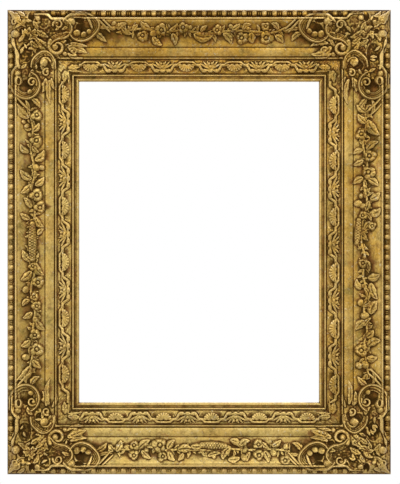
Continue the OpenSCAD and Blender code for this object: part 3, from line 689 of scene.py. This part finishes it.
def addToCanvas(points):
    np.maximum.at(canvas, canvasIndex(points), -points[..., 1] / mm - seatBehind)


grimeAndShade = {"near": 1.7, "far": 6.0, "edge": 0.7, "cove": 0.42, "coveAt": 45.0, "coveWide": 12.0,
         "corner": 0.24}


def shadeAndGrimeByPlace(points):
    # Darkening by place: painted shade along the outer edge, dirt in the low middle of the cove, and
    # darker towards the corners.
    inX = wide / 2 - np.abs(points[..., 0]) / mm
    inZ = tall / 2 - np.abs(points[..., 2]) / mm
    d = np.minimum(inX, inZ)
    edge = grimeAndShade["edge"] * (1 - smoothStep(0.5, 4.5, d))
    corner = grimeAndShade["corner"] * (1 - smoothStep(150, 190, np.maximum(inX, inZ)))
    return edge + corner + grimeAndShade["cove"] * np.exp(-((d - grimeAndShade["coveAt"]) / grimeAndShade["coveWide"]) ** 2)


print("fields ready")


def shadeGrimeAndWear(points, ownFine, canvasShare):
    # Depth below the local mean at three scales, as two shares from 0 to 1: the first darkens hollows as
    # grime and painted shade, the second brightens as wear and, on the pearls and slip, as painted light.
    at = canvasIndex(points)
    height = -points[..., 1] / mm - seatBehind
    near, far = canvasNear[at] - height, canvasFar[at] - height
    around = canvasShare * (0.75 * near / 1.7 + 0.4 * far / 4.0)
    sunk = ownFine + around + shadeAndGrimeByPlace(points)
    return np.clip(sunk, 0, 1), np.clip(-sunk * 0.8, 0, 1)


def shadeMesh(mesh, points, ownFine, tone, canvasShare):
    hollow, worn = shadeGrimeAndWear(points, ownFine, canvasShare)
    for name, values in (("hollow", hollow), ("worn", worn), ("tone", np.full(len(points), tone))):
        layer = mesh.attributes.new(name=name, type="FLOAT", domain="POINT")
        layer.data.foreach_set("value", values.astype(np.float32).ravel())


def placed(name, data):
    # An object made of a mesh, a lamp or a camera, and linked to the scene.
    made = bpy.data.objects.new(name, data)
    bpy.context.scene.collection.objects.link(made)
    return made


def newPiece(name, points, quads, flatFaces, tone, fine, canvasShare=1.0):
    # One object whose place is in its mesh: smooth quads in an array, and flat faces in a list.
    mesh = bpy.data.meshes.new(name)
    loops = np.concatenate([quads.ravel(), *flatFaces]).astype(np.int32)
    totals = np.array([4] * len(quads) + [len(face) for face in flatFaces], np.int32)
    mesh.vertices.add(len(points))
    mesh.vertices.foreach_set("co", points.astype(np.float32).ravel())
    mesh.loops.add(len(loops))
    mesh.loops.foreach_set("vertex_index", loops)
    mesh.polygons.add(len(totals))
    mesh.polygons.foreach_set("loop_start", (np.cumsum(totals) - totals).astype(np.int32))
    mesh.polygons.foreach_set("loop_total", totals)
    mesh.polygons.foreach_set("use_smooth", np.arange(len(totals)) < len(quads))
    mesh.update(calc_edges=True)
    mesh.validate()
    shadeMesh(mesh, points, fine, tone, canvasShare)
    return placed(name, mesh)


def closedSheet(front, back, keep):
    # Front and back grids of points joined by walls round the kept cells. Rows run along the
    # side and columns inwards, so that front faces look forwards.
    rows, columns = front.shape[:2]
    number = np.arange(rows * columns).reshape(rows, columns)
    i, j = np.nonzero(keep)
    ring = np.stack([number[i, j], number[i, j + 1], number[i + 1, j + 1], number[i + 1, j]], 1)
    faces = [ring, ring[:, ::-1] + rows * columns]
    framed = np.pad(keep, 1)
    for di, dj, (p, q), (r, s) in ((-1, 0, (0, 0), (0, 1)), (0, 1, (0, 1), (1, 1)),
                                   (1, 0, (1, 1), (1, 0)), (0, -1, (1, 0), (0, 0))):
        beside = framed[1 + di:1 + di + keep.shape[0], 1 + dj:1 + dj + keep.shape[1]]
        i, j = np.nonzero(keep & ~beside)
        start, end = number[i + p, j + q], number[i + r, j + s]
        faces.append(np.stack([end, start, start + rows * columns, end + rows * columns], 1))
    faces = np.concatenate(faces)
    used, faces = np.unique(faces, return_inverse=True)
    points = np.concatenate([front.reshape(-1, 3), back.reshape(-1, 3)])[used]
    return points, faces.reshape(-1, 4), used


def cellsOf(pointMask):
    # Cells with a kept corner; cells that would meet only at a point are joined up.
    keep = pointMask[:-1, :-1] | pointMask[1:, :-1] | pointMask[:-1, 1:] | pointMask[1:, 1:]
    for _ in range(4):
        a, b, c, d = keep[:-1, :-1], keep[1:, :-1], keep[:-1, 1:], keep[1:, 1:]
        crossA, crossB = a & d & ~b & ~c, b & c & ~a & ~d
        if not (crossA | crossB).any():
            break
        keep = keep.copy()
        keep[1:, :-1] |= crossA
        keep[:-1, :-1] |= crossB
    return keep


hiddenBelow = 0.5      # a sheet's bare rim dips this far under the moulding
sheetThick = 2.6


def sheetPiece(name, side, field, tone, atCorner=False):
    p, q, height, carved = field
    keep = cellsOf(carved)
    plain = ground(np.minimum(p, q) if atCorner else q)
    height = np.where(carved, height, plain - hiddenBelow)
    under = np.minimum(height, plain) - sheetThick
    along = p - halfAlong(side) if atCorner else p
    front, back = toWorld(side, along, q, height), toWorld(side, along, q, under)
    points, faces, used = closedSheet(front, back, keep)
    # Fine depth below the near mean, which darkens the crevices round each form as grime and painted
    # shade.
    fine = blurred(height, 1.6) - height
    fine = np.concatenate([fine.ravel(), np.zeros(fine.size)])[used]
    return newPiece(name, points, faces, [], tone, fine)


def tubeFaces(rows, columns, first=0):
    # Quads from each closed section to the next, for points numbered section by section, and
    # the two end faces.
    number = first + np.arange(rows * columns).reshape(rows, columns)
    after = np.roll(number, -1, axis=1)
    quads = np.stack([number[:-1], after[:-1], after[1:], number[1:]], -1).reshape(-1, 4)
    return quads, [number[0][::-1], number[-1]]


def sweptPiece(name, side, depths, heights, shares, tone, fine=None):
    # A closed section carried along a side between its mitres: the run at each point of the
    # section is a share of half the side less its distance in. heights is (shares, section).
    depth = np.broadcast_to(depths, heights.shape)
    along = shares[:, None] * (halfAlong(side) - depth)
    points = toWorld(side, along, depth, heights).reshape(-1, 3)
    fine = np.zeros(len(points)) if fine is None else fine.ravel()
    return newPiece(name, points, *tubeFaces(*heights.shape), tone, fine)


for side, (p, q, height, keep) in enumerate(sprays):
    addToCanvas(toWorld(side, p[keep], q[keep], height[keep]))
for corner, (p, q, height, keep) in enumerate(corners):
    addToCanvas(toWorld(corner, p[keep] - halfAlong(corner), q[keep], height[keep]))
for side, (p, q, height) in enumerate(straps):
    addToCanvas(toWorld(side, p, q, height))
# Pearls and reels along the outer edge, on a strip of their own. Sizes are mm; the last entry is
# the painted shade on each side's pearls, below nought where they are painted brighter instead.
pearls = {"pitch": 18.6, "depth": 7.85, "up": 17.7, "size": [5.4, 6.1, 6.1], "turns": 14, "rings": 7,
          "square": 0.55, "reelSize": [1.3, 3.9, 3.9], "reelApart": 1.6, "reelDrop": 0.6,
          "end": 34.0, "dirtAndPaintedLight": [0.5, 0.08, -0.3, -0.06]}
pearlStrip = np.array([(1.7, 15.4), (1.7, 17.0), (2.3, 17.6), (3.2, 17.5), (4.2, 16.9), (7.9, 16.5),
                       (11.5, 16.9), (12.6, 17.5), (13.6, 17.6), (14.1, 17.0), (14.1, 15.4)])


def pearlPlaces(side):
    reach = halfAlong(side) - pearls["end"]
    count = int((reach - 5) / pearls["pitch"] - 0.5)
    return (np.arange(-count - 1, count + 1) + 0.5) * pearls["pitch"], reach


def eggs(centres, radii, turns, rings):
    # Closed barrels (x, y, z) = c + r (cos v, s cos u, s sin u) with s = (sin v)^square, poles
    # along the run; square = 1 would be an ellipsoid.
    u = np.linspace(0, 2 * np.pi, turns, endpoint=False)
    v = np.linspace(0, np.pi, rings + 1)[1:-1]
    thick = np.sin(v)[:, None] ** pearls["square"]
    ring = np.stack([np.broadcast_to(np.cos(v)[:, None], (len(v), turns)),
                     thick * np.cos(u), thick * np.sin(u)], -1)
    unit = np.vstack([[[1, 0, 0]], ring.reshape(-1, 3), [[-1, 0, 0]]])
    points = centres[:, None] + radii[:, None] * unit
    number = 1 + np.arange(len(v) * turns).reshape(len(v), turns)
    after = np.roll(number, -1, axis=1)
    quads = np.stack([number[:-1], number[1:], after[1:], after[:-1]], -1).reshape(-1, 4)
    last = len(unit) - 1
    caps = [(0, number[0, k], after[0, k]) for k in range(turns)]
    caps += [(last, after[-1, k], number[-1, k]) for k in range(turns)]
    shift = np.arange(len(centres))[:, None, None] * len(unit)
    return (points.reshape(-1, 3), (quads[None] + shift).reshape(-1, 4),
            (np.array(caps)[None] + shift).reshape(-1, 3))


def besideEdge(runs, high):
    # Places over the middle of the pearls' strip.
    return np.stack([runs, np.full(len(runs), pearls["depth"]), np.full(len(runs), high)], 1)


def pearlPiece(side, tone):
    places, reach = pearlPlaces(side)
    n = len(places)
    pearlSize = rng.uniform(0.93, 1.05, (n, 3)) * pearls["size"]
    middle = besideEdge(places + rng.uniform(-0.3, 0.3, n), pearls["up"])
    gaps = np.append(places - pearls["pitch"] / 2, places[-1] + pearls["pitch"] / 2)
    gaps = gaps[np.abs(gaps) < reach - 3]
    reels = np.concatenate([gaps - pearls["reelApart"], gaps + pearls["reelApart"]])
    reelSize = np.tile(pearls["reelSize"], (len(reels), 1))
    reelMiddle = besideEdge(reels, pearls["up"] - pearls["reelDrop"])
    a, quadsA, capsA = eggs(middle, pearlSize, pearls["turns"], pearls["rings"])
    b, quadsB, capsB = eggs(reelMiddle, reelSize, pearls["turns"] - 2, pearls["rings"] - 1)
    run = np.linspace(-reach, reach, len(np.arange(-reach, reach + 2, 4.0)))
    rows, columns = len(run), len(pearlStrip)
    base = np.column_stack([np.repeat(run, columns), np.tile(pearlStrip, (rows, 1))])
    local = np.concatenate([a, b, base])
    shiftB, shiftC = len(a), len(a) + len(b)
    quadsC, ends = tubeFaces(rows, columns, shiftC)
    points = toWorld(side, local[:, 0], local[:, 1], local[:, 2])
    # The poles run along the side and depth runs inwards, so a pearl's own up is the third axis.
    # Painted shade: the pearls' low sides, the reels and the strip under them are darkened where the
    # pearls would shade them.
    low = np.clip((17.0 - local[:, 2]) / 3.0, -0.3, 0.75)
    low[shiftB:shiftC] += 0.45
    low[shiftC:] = 0.7
    quads = np.concatenate([quadsA, quadsB + shiftB, quadsC])
    flatFaces = [*capsA, *(capsB + shiftB), *ends]
    return newPiece("pearls_" + sideNames[side], points, quads, flatFaces, tone,
                    0.6 * low + pearls["dirtAndPaintedLight"][side], 0.25)


# The pearls are added to the height picture, so that the ground round them is darkened as grime and
# painted shade.
def tellPearls():
    for side in range(4):
        places, _ = pearlPlaces(side)
        x = np.concatenate([places + off for off in (-3, -1.5, 0, 1.5, 3)])
        for offset in (-3, 0, 3):
            addToCanvas(toWorld(side, x, np.full(len(x), pearls["depth"] + offset),
                                np.full(len(x), 22.5 - abs(offset) / 2)))


tellPearls()
canvasNear = blurred(canvas, grimeAndShade["near"])
canvasFar = blurred(canvas, grimeAndShade["far"])

# How far each side and corner leans from straw towards orange gold.
sideTone = [0.9, 0.72, 0.05, 0.36]
cornerTone = [0.62, 0.62, 0.45, 0.50]
cornerSink = 7.0            # the rails lie this much lower under the corners


def railPiece(side, tone):
    face = np.vstack([mouldingFace, [(x, bandSeat) for x in (94.0, 105.0, 116.6)],
                      slipFace[slipFace[:, 0] < railEnd]])
    section = np.vstack([face, [(railEnd, 9.4), (railEnd, 0.0), (60.0, 0.0), (0.0, 0.0)]])
    depth = section[:, 0]
    shares = np.linspace(-1, 1, int(2 * halfAlong(side) / 4.0))
    heights = np.broadcast_to(section[:, 1], (len(shares), len(section))).copy()
    # The old wood has moved: the face waves a little along its run.
    wave = 0.25 * np.sin(2 * np.pi * (3.3 * shares[:, None] + 0.11 * side) + depth / 17)
    waved = slice(8, len(face))
    heights[:, waved] += (wave * (np.abs(shares[:, None]) < 0.97))[:, waved]
    # Under the corners it is sunk, which leaves depth for the holes of their carving.
    fromCorner = halfAlong(side) - np.abs(shares[:, None]) * (halfAlong(side) - depth)
    sunk = (1 - smoothStep(128, 146, fromCorner)) * ((depth > 14.2) & (depth < 60))
    heights[:, :len(face)] -= (cornerSink * sunk)[:, :len(face)]
    return sweptPiece("gilt_rail_" + sideNames[side], side, depth, heights, shares, tone)


def slipPiece(side, tone):
    face = slipFace[slipFace[:, 0] > railEnd]
    section = np.vstack([[(railEnd + 0.05, 0.0), (railEnd + 0.05, 8.9)], face, [(slipEnd, 0.0)]])
    shares = np.linspace(-1, 1, int(2 * halfAlong(side) / 5.0))
    heights = np.broadcast_to(section[:, 1], (len(shares), len(section)))
    dirtAndPaintedLight = np.broadcast_to(np.interp(section[:, 0], *slipDarkeningByDepth.T) - slipPaintedLight[side], heights.shape)
    return sweptPiece("sight_" + sideNames[side], side, section[:, 0], heights, shares, tone, dirtAndPaintedLight)


def strapPiece(side, field, tone):
    p, q, height = field
    shares = p[:, 0] / (halfAlong(side) - q[:, 0])
    under = 9.6
    depths = np.concatenate([[q[0, 0]], q[0], [q[0, -1]]])
    heights = np.pad(height, ((0, 0), (1, 1)), constant_values=under)
    # Fine depth below the near mean, which darkens the crevices round each form as grime and painted
    # shade.
    fine = np.pad(blurred(height, 1.5) - height, ((0, 0), (1, 1)))
    return sweptPiece("strap_" + sideNames[side], side, depths, heights, shares, tone, fine)


giltPieces = []


def settle(piece, node):
    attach(piece, "frame")
    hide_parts(node)
    giltPieces.append(piece)


for side, name in enumerate(sideNames):
    tone = sideTone[side]
    settle(railPiece(side, tone), "rail_" + name)
    settle(slipPiece(side, tone - 0.1), "sight_slip_" + name)
    settle(pearlPiece(side, tone), "pearl_strip_" + name)
    settle(strapPiece(side, straps[side], tone), "strap_band_" + name)
    settle(sheetPiece("spray_carved_" + name, side, sprays[side], tone), "spray_" + name)
print("sides made")
for corner, name in enumerate(cornerNames):
    piece = sheetPiece("corner_carved_" + name, corner, corners[corner], cornerTone[corner], True)
    settle(piece, "corner_" + name)
print("corners made")

# Materials. Every pattern reads Object coordinates in metres or the pieces' own attributes.
def plainColour(r, g, b):
    # An sRGB colour of 0 to 255 as linear light.
    c = np.array([r, g, b]) / 255
    c = np.where(c <= 0.04045, c / 12.92, ((c + 0.055) / 1.055) ** 2.4)
    return (*map(float, c), 1.0)


def plug(tree, socket, value):
    if isinstance(value, bpy.types.NodeSocket):
        tree.links.new(value, socket)
    else:
        socket.default_value = value


def feed(tree, node, **inputs):
    # Each input is named by its label with _ for a space, or i and its number.
    for key, value in inputs.items():
        plug(tree, node.inputs[int(key[1:]) if key[1:].isdigit() else key.replace("_", " ")], value)


def add(tree, kind, settings=None, **inputs):
    made = tree.nodes.new("ShaderNode" + kind)
    for key, value in (settings or {}).items():
        setattr(made, key, value)
    feed(tree, made, **inputs)
    return made.outputs[0]


def noise(tree, at, scale, detail, roughness, distortion=0.0):
    return add(tree, "TexNoise", Vector=at, Scale=scale, Detail=detail, Roughness=roughness,
               Distortion=distortion)


def drawnOut(tree, at, axis, across, along, *look):
    # Noise stretched along one axis.
    scale = [across] * 3
    scale[axis] = along
    return noise(tree, add(tree, "Mapping", Vector=at, Scale=scale), 1.0, *look)


def ramp(tree, value, low, high, toLow=0.0, toHigh=1.0):
    settings = {"interpolation_type": "SMOOTHSTEP"}
    return add(tree, "MapRange", settings, i0=value, i1=low, i2=high, i3=toLow, i4=toHigh)


def blend(tree, share, low, high, kind="MIX"):
    made = tree.nodes.new("ShaderNodeMix")
    made.data_type = "RGBA"
    made.blend_type = kind
    feed(tree, made, i0=share, i6=low, i7=high)
    return made.outputs[2]


def math2(tree, operation, a, b, clamp=False):
    return add(tree, "Math", {"operation": operation, "use_clamp": clamp}, i0=a, i1=b)


def attribute(tree, name):
    made = tree.nodes.new("ShaderNodeAttribute")
    made.attribute_name = name
    return made.outputs["Fac"]


def bumped(tree, height, strength, distance, **under):
    return add(tree, "Bump", Strength=strength, Distance=distance, Height=height, **under)


def newMaterial(name):
    made = bpy.data.materials.new(name)
    made.use_nodes = True
    tree = made.node_tree
    shader = next(n for n in tree.nodes if n.type == "BSDF_PRINCIPLED")
    return made, tree, shader, tree.nodes.new("ShaderNodeTexCoord").outputs["Object"]


gilding = {"straw": (187, 161, 90), "orange": (173, 132, 44), "green": (118, 104, 46),
           "bole": (138, 80, 34), "worn": (216, 184, 116), "grimeAndShade": (50, 33, 8),
           "wash": (98, 70, 20), "russet": (114, 66, 26), "chalk": (208, 198, 166),
           "stain": (192, 184, 144)}
gilding = {name: plainColour(*colour) for name, colour in gilding.items()}


def giltMaterial(name):
    # Water gilding over red bole: straw to orange leaf in patches, bole where it is rubbed
    # through, a brown wash and near-black grime in the hollows, where they are also painted shade, and
    # high places worn bright, with painted light on some sides.
    made, tree, shader, at = newMaterial(name)
    tone, hollow, worn = (attribute(tree, key) for key in ("tone", "hollow", "worn"))
    mottle, speck = noise(tree, at, 95, 4, 0.65, 0.4), noise(tree, at, 520, 3, 0.6)
    fleck = noise(tree, at, 300, 3, 0.7, 0.3)
    lean = math2(tree, "ADD", tone, ramp(tree, noise(tree, at, 17, 4, 0.6), 0.3, 0.7, -0.35, 0.35), True)
    gold = blend(tree, lean, gilding["straw"], gilding["orange"])
    stain = ramp(tree, noise(tree, at, 12, 5, 0.7, 0.8), 0.4, 0.66, 0.0, 0.7)
    # Coats laid on in turn, each where its first value says; stains are heavier on orange leaf.
    coats = [(ramp(tree, noise(tree, at, 26, 3, 0.6, 0.6), 0.52, 0.72, 0.0, 0.7), "green"),
             (ramp(tree, noise(tree, at, 44, 4, 0.7, 0.5), 0.56, 0.72, 0.0, 0.6), "bole"),
             (ramp(tree, mottle, 0.42, 0.68, 0.0, 0.45), "wash", "MULTIPLY"),
             (ramp(tree, speck, 0.58, 0.75, 0.0, 0.35), "wash"),
             (math2(tree, "MULTIPLY", worn, 0.75), "worn"),
             (ramp(tree, fleck, 0.54, 0.68, 0.0, 0.4), "worn"),
             (ramp(tree, fleck, 0.34, 0.46, 0.42, 0.0), "wash"),
             (ramp(tree, noise(tree, at, 190, 4, 0.7, 0.5), 0.6, 0.68, 0.0, 0.6), "chalk"),
             (math2(tree, "MULTIPLY", stain, tone), "stain", "MULTIPLY")]
    for share, colour, *kind in coats:
        gold = blend(tree, share, gold, gilding[colour], *kind)
    # The hollows' darkening is grime and also painted shade where the carving would shade itself; it
    # lowers the shine too.
    dirtAndPaintedLight = math2(tree, "ADD", hollow, ramp(tree, mottle, 0.35, 0.7, -0.12, 0.12), True)
    russet = ramp(tree, noise(tree, at, 60, 3, 0.6, 0.4), 0.42, 0.6)
    thin = blend(tree, russet, gilding["wash"], gilding["russet"])
    gold = blend(tree, ramp(tree, dirtAndPaintedLight, 0.05, 0.55, 0.0, 0.75), gold, thin)
    gold = blend(tree, ramp(tree, dirtAndPaintedLight, 0.35, 1.0, 0.0, 0.84), gold, gilding["grimeAndShade"])
    rough = ramp(tree, dirtAndPaintedLight, 0.0, 0.8, 0.36, 0.75)
    crackle = add(tree, "TexVoronoi", {"feature": "DISTANCE_TO_EDGE"}, Vector=at, Scale=160.0)
    dents = bumped(tree, mottle, 0.5, 0.0008, Normal=bumped(tree, speck, 0.35, 0.0004))
    feed(tree, shader, Base_Color=gold, Metallic=ramp(tree, dirtAndPaintedLight, 0.1, 0.8, 0.78, 0.05),
         Roughness=math2(tree, "ADD", rough, ramp(tree, speck, 0.3, 0.7, -0.06, 0.1)),
         Normal=bumped(tree, ramp(tree, crackle, 0.0, 0.03), 0.2, 0.0002, Normal=dents),
         Specular_IOR_Level=ramp(tree, dirtAndPaintedLight, 0.1, 0.7, 0.5, 0.05))
    return made


carvedGilt = giltMaterial("carved gilding")
for piece in giltPieces:
    piece.data.materials.append(carvedGilt)


def woodMaterial(name, axis, *colours):
    # Growth rings seen along the plank: noise drawn out along the grain, with fine pores.
    light, dark, groove = (plainColour(*colour) for colour in colours)
    made, tree, shader, at = newMaterial(name)
    rings = drawnOut(tree, at, axis, 60.0, 3.0, 4, 0.6, 1.2)
    pores = drawnOut(tree, at, axis, 700.0, 22.0, 2, 0.5)
    tint = blend(tree, ramp(tree, rings, 0.35, 0.65), light, dark)
    tint = blend(tree, ramp(tree, pores, 0.55, 0.7, 0.0, 0.6), tint, groove)
    tint = blend(tree, ramp(tree, noise(tree, at, 6, 4, 0.6), 0.45, 0.75, 0.0, 0.45), tint, groove)
    feed(tree, shader, Base_Color=tint, Roughness=ramp(tree, pores, 0.3, 0.7, 0.62, 0.85),
         Normal=bumped(tree, pores, 0.5, 0.0004, Normal=bumped(tree, rings, 0.3, 0.0006)))
    return made


def metalMaterial(name, colour, tarnish, rough, spotScale=90.0):
    made, tree, shader, at = newMaterial(name)
    spots = noise(tree, at, spotScale, 5, 0.65, 0.5)
    brushed = drawnOut(tree, at, 2, 900.0, 160.0, 2, 0.5)
    tint = blend(tree, ramp(tree, spots, 0.42, 0.7, 0.0, 0.85), plainColour(*colour),
                 plainColour(*tarnish))
    feed(tree, shader, Base_Color=tint, Metallic=ramp(tree, spots, 0.4, 0.75, 1.0, 0.55),
         Roughness=math2(tree, "ADD", ramp(tree, spots, 0.35, 0.7, rough, rough + 0.3),
                         ramp(tree, brushed, 0.3, 0.7, -0.05, 0.05)),
         Normal=bumped(tree, brushed, 0.2, 0.0001, Normal=bumped(tree, spots, 0.15, 0.0002)))
    return made


def corkMaterial(name):
    made, tree, shader, at = newMaterial(name)
    cells = add(tree, "TexVoronoi", {"feature": "F1"}, Vector=at, Scale=900.0)
    lumps = noise(tree, at, 260, 4, 0.7)
    tint = blend(tree, ramp(tree, lumps, 0.35, 0.7), plainColour(196, 154, 106), plainColour(132, 92, 56))
    tint = blend(tree, ramp(tree, cells, 0.5, 0.9, 0.0, 0.5), tint, plainColour(90, 60, 34))
    feed(tree, shader, Base_Color=tint, Roughness=ramp(tree, lumps, 0.3, 0.7, 0.8, 0.95),
         Normal=bumped(tree, lumps, 0.6, 0.0005, Normal=bumped(tree, cells, 0.3, 0.0003)))
    return made


brassButton = metalMaterial("turn button brass", (196, 160, 92), (112, 86, 46), 0.36)
finishes = {
    "back_rail_top back_rail_bottom":
        woodMaterial("oak, grain across", 0, (134, 98, 60), (104, 72, 42), (58, 38, 20)),
    "back_rail_left back_rail_right":
        woodMaterial("oak, grain upright", 2, (130, 95, 58), (100, 70, 40), (56, 37, 20)),
    "lap_pegs mitre_keys": woodMaterial("oak pegs", 1, (172, 136, 90), (140, 104, 64), (84, 58, 32)),
    "back_frame_screws hanger_screws turn_button_screws turn_button_washers":
        metalMaterial("old steel", (150, 146, 138), (96, 74, 54), 0.38),
    "hanger_ring_left hanger_ring_right":
        metalMaterial("steel wire", (168, 164, 156), (110, 92, 72), 0.32, 160.0),
    "hanger_strap_left hanger_strap_right":
        metalMaterial("hanger brass", (204, 168, 96), (126, 96, 50), 0.3),
    "wall_pads": corkMaterial("cork")}
nodeFinish = {name: finish for names, finish in finishes.items() for name in names.split()}
for name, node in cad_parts.items():
    finish = nodeFinish.get(name, brassButton if name.startswith("turn_button_") else carvedGilt)
    if not node.material_slots:
        node.data.materials.append(finish)
    for slot in node.material_slots:
        slot.material = finish
print("finishes given")

# Camera straight on, at the photograph's framing.
scene = bpy.context.scene
imageSize = (400, 484)
edgePlane = -0.041       # the outline that the photograph shows lies this far off the wall
viewTall = imageSize[1] * photoScale * mm
cameraAway = 7.0
lens = bpy.data.cameras.new("camera")
lens.sensor_fit = "VERTICAL"
lens.sensor_height = 24.0
lens.lens = lens.sensor_height * (cameraAway + edgePlane) / viewTall
lens.clip_end = 50
camera = placed("camera", lens)
camera.location = ((imageSize[0] / 2 - photoMiddle[0]) * photoScale * mm, -cameraAway,
                   (photoMiddle[1] - imageSize[1] / 2) * photoScale * mm)
camera.rotation_euler = (math.pi / 2, 0, 0)
scene.camera = camera

lamps = {"key": ((0.9, -2.4, 1.9), 2.0, 42), "fill": ((-1.6, -2.4, 0.4), 2.2, 20),
         "back": ((0.4, 2.6, 1.8), 2.0, 50)}
for name, ((x, y, z), size, power) in lamps.items():
    light = bpy.data.lights.new(name, "AREA")
    light.shape = "SQUARE"
    light.size = size
    light.energy = power
    lamp = placed(name, light)
    lamp.location = (x, y, z)
    # It faces the middle of the frame.
    lamp.rotation_euler = (math.atan2(math.hypot(x, y), z), 0, math.atan2(x, -y))


def whiteToTheEye(tree, dim):
    # White to the camera and in reflections, and a plain level of light for the rest.
    path = tree.nodes.new("ShaderNodeLightPath").outputs
    seen = math2(tree, "MAXIMUM", math2(tree, "MAXIMUM", path["Is Camera Ray"], path["Is Glossy Ray"]),
                 path["Is Transmission Ray"])
    return blend(tree, seen, dim, (1.0, 1.0, 1.0, 1.0))


world = bpy.data.worlds.new("world")
world.use_nodes = True
scene.world = world
background = next(n for n in world.node_tree.nodes if n.type == "BACKGROUND")
feed(world.node_tree, background, Color=whiteToTheEye(world.node_tree, (0.5, 0.5, 0.5, 1.0)))

floorAt = -0.60
left, right, front, back = -1.6, 1.6, -2.4, 0.5    # the front view ends above the floor
floorMesh = bpy.data.meshes.new("floor")
floorMesh.from_pydata([(left, front, floorAt), (right, front, floorAt), (right, back, floorAt),
                       (left, back, floorAt)], [], [(0, 1, 2, 3)])
floor = placed("floor", floorMesh)
floorPaint, tree, shader, _ = newMaterial("pale floor")
feed(tree, shader, Base_Color=plainColour(226, 224, 220), Roughness=0.8)
floorMesh.materials.append(floorPaint)

scene.view_settings.view_transform = "Standard"
